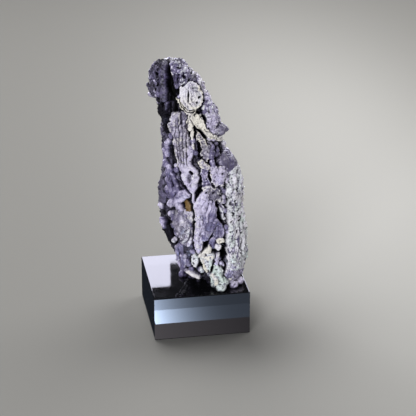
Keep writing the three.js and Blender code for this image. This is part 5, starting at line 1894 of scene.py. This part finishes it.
@dataclass
class Cluster:
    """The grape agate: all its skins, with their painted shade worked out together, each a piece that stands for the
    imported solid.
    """

    finish: AgateFinish = field(default_factory=AgateFinish)
    hollows: Hollows = field(default_factory=Hollows)
    small: SmallGrapes = field(default_factory=SmallGrapes)

    @staticmethod
    def growths() -> dict[str, Skin]:
        """The trunk, the mounds and the large balls.

        Returns:
            Their skins, by the names of their pieces.
        """
        grapes = [Grape.on_trunk(*laid(np.array([[s, h]], float))[0], r, hue, lift=sum(lift))
                  for s, h, r, hue, *lift in GRAPES]
        grapes += scattered_grapes()
        grapes += [Grape(np.array([s, d, h], float), r, r, r, hue, 0.85) for s, d, h, r, hue in FOOT_GRAPES]
        mounds = [Grape(np.array([s, d, h], float), r, r, r, Hue.FROST, 0.95) for s, d, h, r in SPUR]
        for s, h, across, high, sink, hue, rough in MOUNDS:
            place, out = FORM.on_face(np.array([float(s)]), np.array([float(h)]), Side.NEAR)
            mounds.append(Grape((place - out * sink)[0], across, min(across, high), high, hue, rough))
        skins = {"agate_near_foot": TrunkPiece(Side.NEAR, 0, 94, 310, 300, dive=2.5).skin(),
                 "agate_near_crown": TrunkPiece(Side.NEAR, 91.5, 182.6, 310, 300).skin(),
                 "agate_far_half": TrunkPiece(Side.FAR, 0, 182.6, 420, 208).skin()}
        skins["agate_mounds"] = Skin.joined([mound.skin() for mound in mounds])
        skins["agate_grapes"] = Skin.joined([grape.skin() for grape in grapes])
        return skins

    def build(self) -> None:
        """Makes the pieces: shapes first, then how open each point is, then the objects."""
        skins = self.growths()
        self.hollows.fill(list(skins.values()))
        ground = Skin.joined(list(skins.values()))
        out = ground.normals()
        openness = self.hollows.openness(ground.points, out)
        skins["agate_small_grapes"] = self.small.skin(ground, out, openness)
        material = self.finish.material()
        for name, skin in skins.items():
            piece = mesh_object(name, to_frame(skin.points), skin.faces)
            # How open each point is, times its crease value, is stored in the body values as painted shade.
            unshaded_share = self.hollows.openness(skin.points, skin.normals()) * skin.crease_shade
            body = np.column_stack([skin.tone[:, TINT], skin.tone[:, LIGHT], unshaded_share])
            for label, values in (("coat", skin.tone[:, CRUST:STAIN + 1]), ("body", body)):
                layer = piece.data.attributes.new(label, "FLOAT_VECTOR", "POINT")
                layer.data.foreach_set("vector", values.astype(np.float32).ravel())
            piece.data.materials.append(material)
            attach(piece, BODY)
            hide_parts(CLUSTER)
            log.info("%s: %d triangles, open %.2f to %.2f, mean %.2f", name, len(skin.faces), unshaded_share.min(),
                     unshaded_share.max(), unshaded_share.mean())


@dataclass
class Block:
    """The square block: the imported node, with its polish."""

    finish: AcrylicFinish = field(default_factory=AcrylicFinish)

    def dress(self) -> None:
        """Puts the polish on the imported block."""
        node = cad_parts[BLOCK]
        for slot in node.material_slots:
            slot.material = self.finish.material()
        log.info("%s: polished", BLOCK)


# ==== Studio ====


@dataclass(frozen=True)
class Lamp:
    """A soft square lamp: where it stands, how wide it is, its power and its colour."""

    name: str
    place: tuple
    width: float
    power: float
    tint: tuple = (1.0, 1.0, 1.0)


@dataclass(frozen=True)
class Card:
    """A card that only polished faces see: its reach along each axis, and its glow at its left and right."""

    name: str
    across: tuple  # from and to along X
    deep: tuple  # from and to along Y
    high: tuple  # from and to along Z
    left: float
    right: float
    fade: float = 1.0  # power of the fall from left to right
    tint: tuple = (0.6, 0.74, 1.0, 1.0)


@dataclass
class Studio:
    """Floor, lamps, cards, surroundings and camera."""

    target: tuple = (0.0109, 0.0, 0.09408)
    azimuth: float = -9.57
    elevation: float = 24.95
    distance: float = 1.3595
    lens: float = 148.7
    floor_half: float = 6.0
    painted_light_middle: tuple = (0.2, 0.25, 0.0)  # middle of the floor's painted pool of light
    painted_light_reach: tuple = (0.17, 0.5, 1.0)
    painted_shadow_middle: tuple = (0.015, -0.035, 0.0)  # middle of the block's painted soft shadow on the floor
    painted_shadow_reach: tuple = (0.08, 0.055, 1.0)
    floor_and_painted_tones: tuple = (colour(130, 129, 126), colour(178, 177, 174), colour(60, 59, 58))  # plain floor, painted pool of light, painted shadow
    film: float = 36.0  # width of the camera's film, millimetres
    air: tuple = ((0.48, 0.47, 0.46, 1.0), (0.03, 0.031, 0.034, 1.0), (0.07, 0.07, 0.074, 1.0))  # seen, mirrored, light
    lamps: tuple = (
        Lamp("top", (-0.3, 0.65, 1.2), 0.9, 19.5),
        Lamp("right", (1.05, 0.5, 0.8), 1.0, 11.0, (1.0, 0.99, 0.98)),
        Lamp("window", (-0.6, -1.15, 0.55), 0.6, 17.0, (0.98, 0.99, 1.0)),
    )
    cards: tuple = (
        Card("card_back_low", (-0.4, 0.5), (0.9, 0.9), (0.0, 0.485), 9.0, 8.0, 1.0, (0.83, 0.83, 1.0, 1.0)),
        Card("card_back_high", (-0.4, 0.109), (0.9, 0.9), (0.485, 0.52), 9.4, 8.0, 1.0, (0.83, 0.83, 1.0, 1.0)),
        Card("card_front_near", (-0.05, 0.06), (-0.063, -0.0385), (0.0005, 0.0005), 1.8, 0.5, 1.5, (1, 0.92, 1, 1)),
        Card("card_front", (-0.034, 0.07), (-0.086, -0.063), (0.0005, 0.0005), 34.0, 1.3, 5.2),
        Card("card_front_far", (-0.034, 0.07), (-0.17, -0.086), (0.0005, 0.0005), 18.0, 1.0, 5.2),
        # card_left is a nearly black sheet on the floor, seen only in the block's polish, that gives its left face a
        # painted dark reflection.
        Card("card_left", (-0.14, -0.0385), (-0.04, 0.3), (0.0005, 0.0005), 0.03, 0.03),
    )

    @staticmethod
    def pool(bench: Bench, place: Socket, middle: tuple, reach: tuple) -> Socket:
        """A soft patch: e^(-r^2), where r is the distance from its middle in shares of its reach.

        Args:
            bench: bench of the material.
            place: places on the floor.
            middle: middle of the patch.
            reach: its reach along each axis.

        Returns:
            Strength of the patch, 0 to 1.
        """
        away = bench.vector("DIVIDE", bench.vector("SUBTRACT", place, middle).outputs[0], reach).outputs[0]
        square = bench.vector("DOT_PRODUCT", away, away).outputs["Value"]
        return bench.math("EXPONENT", bench.math("MULTIPLY", square, -1.0))

    def floor(self) -> None:
        """A plain pale floor, with a painted pool of light and a painted shadow round the block."""
        half = self.floor_half
        points = np.array([(-half, -half, 0), (half, -half, 0), (half, half, 0), (-half, half, 0)], float)
        floor = mesh_object("studio_floor", points, np.array([(0, 1, 2), (0, 2, 3)]))
        material, bench, shader = new_material("studio_floor")
        place = bench.put("ShaderNodeTexCoord").outputs["Object"]
        plain, painted_lit, painted_shaded = self.floor_and_painted_tones
        tone = bench.blend(self.pool(bench, place, self.painted_light_middle, self.painted_light_reach), plain, painted_lit)
        painted_shadow_share = self.pool(bench, place, self.painted_shadow_middle, self.painted_shadow_reach)
        tone = bench.blend(bench.math("MULTIPLY", painted_shadow_share, 0.5), tone, painted_shaded)
        bench.link(tone, shader.inputs["Base Color"])
        shader.inputs["Roughness"].default_value = 0.95
        shader.inputs["Specular IOR Level"].default_value = 0.0
        floor.data.materials.append(material)

    def light(self) -> None:
        """The lamps, each turned to the middle of the stone."""
        for lamp in self.lamps:
            data = bpy.data.lights.new(lamp.name, "AREA")
            data.size, data.energy, data.color = lamp.width, lamp.power, lamp.tint
            light = bpy.data.objects.new(lamp.name, data)
            light.location = lamp.place
            light.rotation_euler = (Vector(self.target) - light.location).to_track_quat("-Z", "Y").to_euler()
            bpy.context.scene.collection.objects.link(light)

    def hang_cards(self) -> None:
        """The cards that the block's polished faces mirror, whose glow fades from left to right."""
        for card in self.cards:
            (x0, x1), (y0, y1), (z0, z1) = card.across, card.deep, card.high
            corners = np.array([(x0, y0, z0), (x1, y0, z0), (x1, y1, z1), (x0, y1, z1)], float)
            piece = mesh_object(card.name, corners, np.array([(0, 1, 2), (0, 2, 3)]))
            material = bpy.data.materials.new(card.name)
            material.use_nodes = True
            material.node_tree.nodes.clear()
            bench = Bench(material.node_tree)
            place = bench.put("ShaderNodeSeparateXYZ", {
                0: bench.put("ShaderNodeTexCoord").outputs["Object"]}).outputs[0]
            share = bench.put("ShaderNodeMapRange", {0: place, 1: x1, 2: x0}).outputs[0]
            glow = bench.math("MULTIPLY_ADD", bench.math("POWER", share, card.fade), card.left - card.right, card.right)
            emission = bench.put("ShaderNodeEmission", {"Color": card.tint, "Strength": glow})
            out = bench.put("ShaderNodeOutputMaterial")
            bench.link(emission.outputs[0], out.inputs["Surface"])
            piece.data.materials.append(material)
            piece.visible_camera = piece.visible_diffuse = piece.visible_shadow = False
            piece.visible_transmission = piece.visible_volume_scatter = False

    def surround(self) -> None:
        """A pale surround for the camera, a dim one for mirrors, and a soft one for light."""
        world = bpy.data.worlds.new("studio")
        bpy.context.scene.world = world
        world.use_nodes = True
        bench = Bench(world.node_tree)
        path = bench.put("ShaderNodeLightPath").outputs
        back = world.node_tree.nodes["Background"]
        seen, mirrored, light = self.air
        tone = bench.blend(path["Is Camera Ray"], bench.blend(path["Is Glossy Ray"], light, mirrored), seen)
        bench.link(tone, back.inputs["Color"])

    def camera(self) -> None:
        """The camera, which looks at the target from its azimuth, elevation and distance."""
        azimuth, elevation = math.radians(self.azimuth), math.radians(self.elevation)
        back = Vector((math.sin(azimuth) * math.cos(elevation), -math.cos(azimuth) * math.cos(elevation),
                       math.sin(elevation)))
        data = bpy.data.cameras.new("camera")
        data.lens, data.sensor_width = self.lens, self.film
        camera = bpy.data.objects.new("camera", data)
        camera.location = Vector(self.target) + back * self.distance
        camera.rotation_euler = (-back).to_track_quat("-Z", "Y").to_euler()
        bpy.context.scene.collection.objects.link(camera)
        bpy.context.scene.camera = camera

    def build(self) -> None:
        """Makes the whole studio."""
        self.floor()
        self.light()
        self.hang_cards()
        self.surround()
        self.camera()
        bpy.context.scene.view_settings.view_transform = "Standard"


def main() -> None:
    """Builds the studio, the block's polish and the stone, in order."""
    logging.basicConfig(level=logging.INFO, format="%(name)s: %(message)s")
    Studio().build()
    Block().dress()
    Cluster().build()


if __name__ == "__main__":
    main()
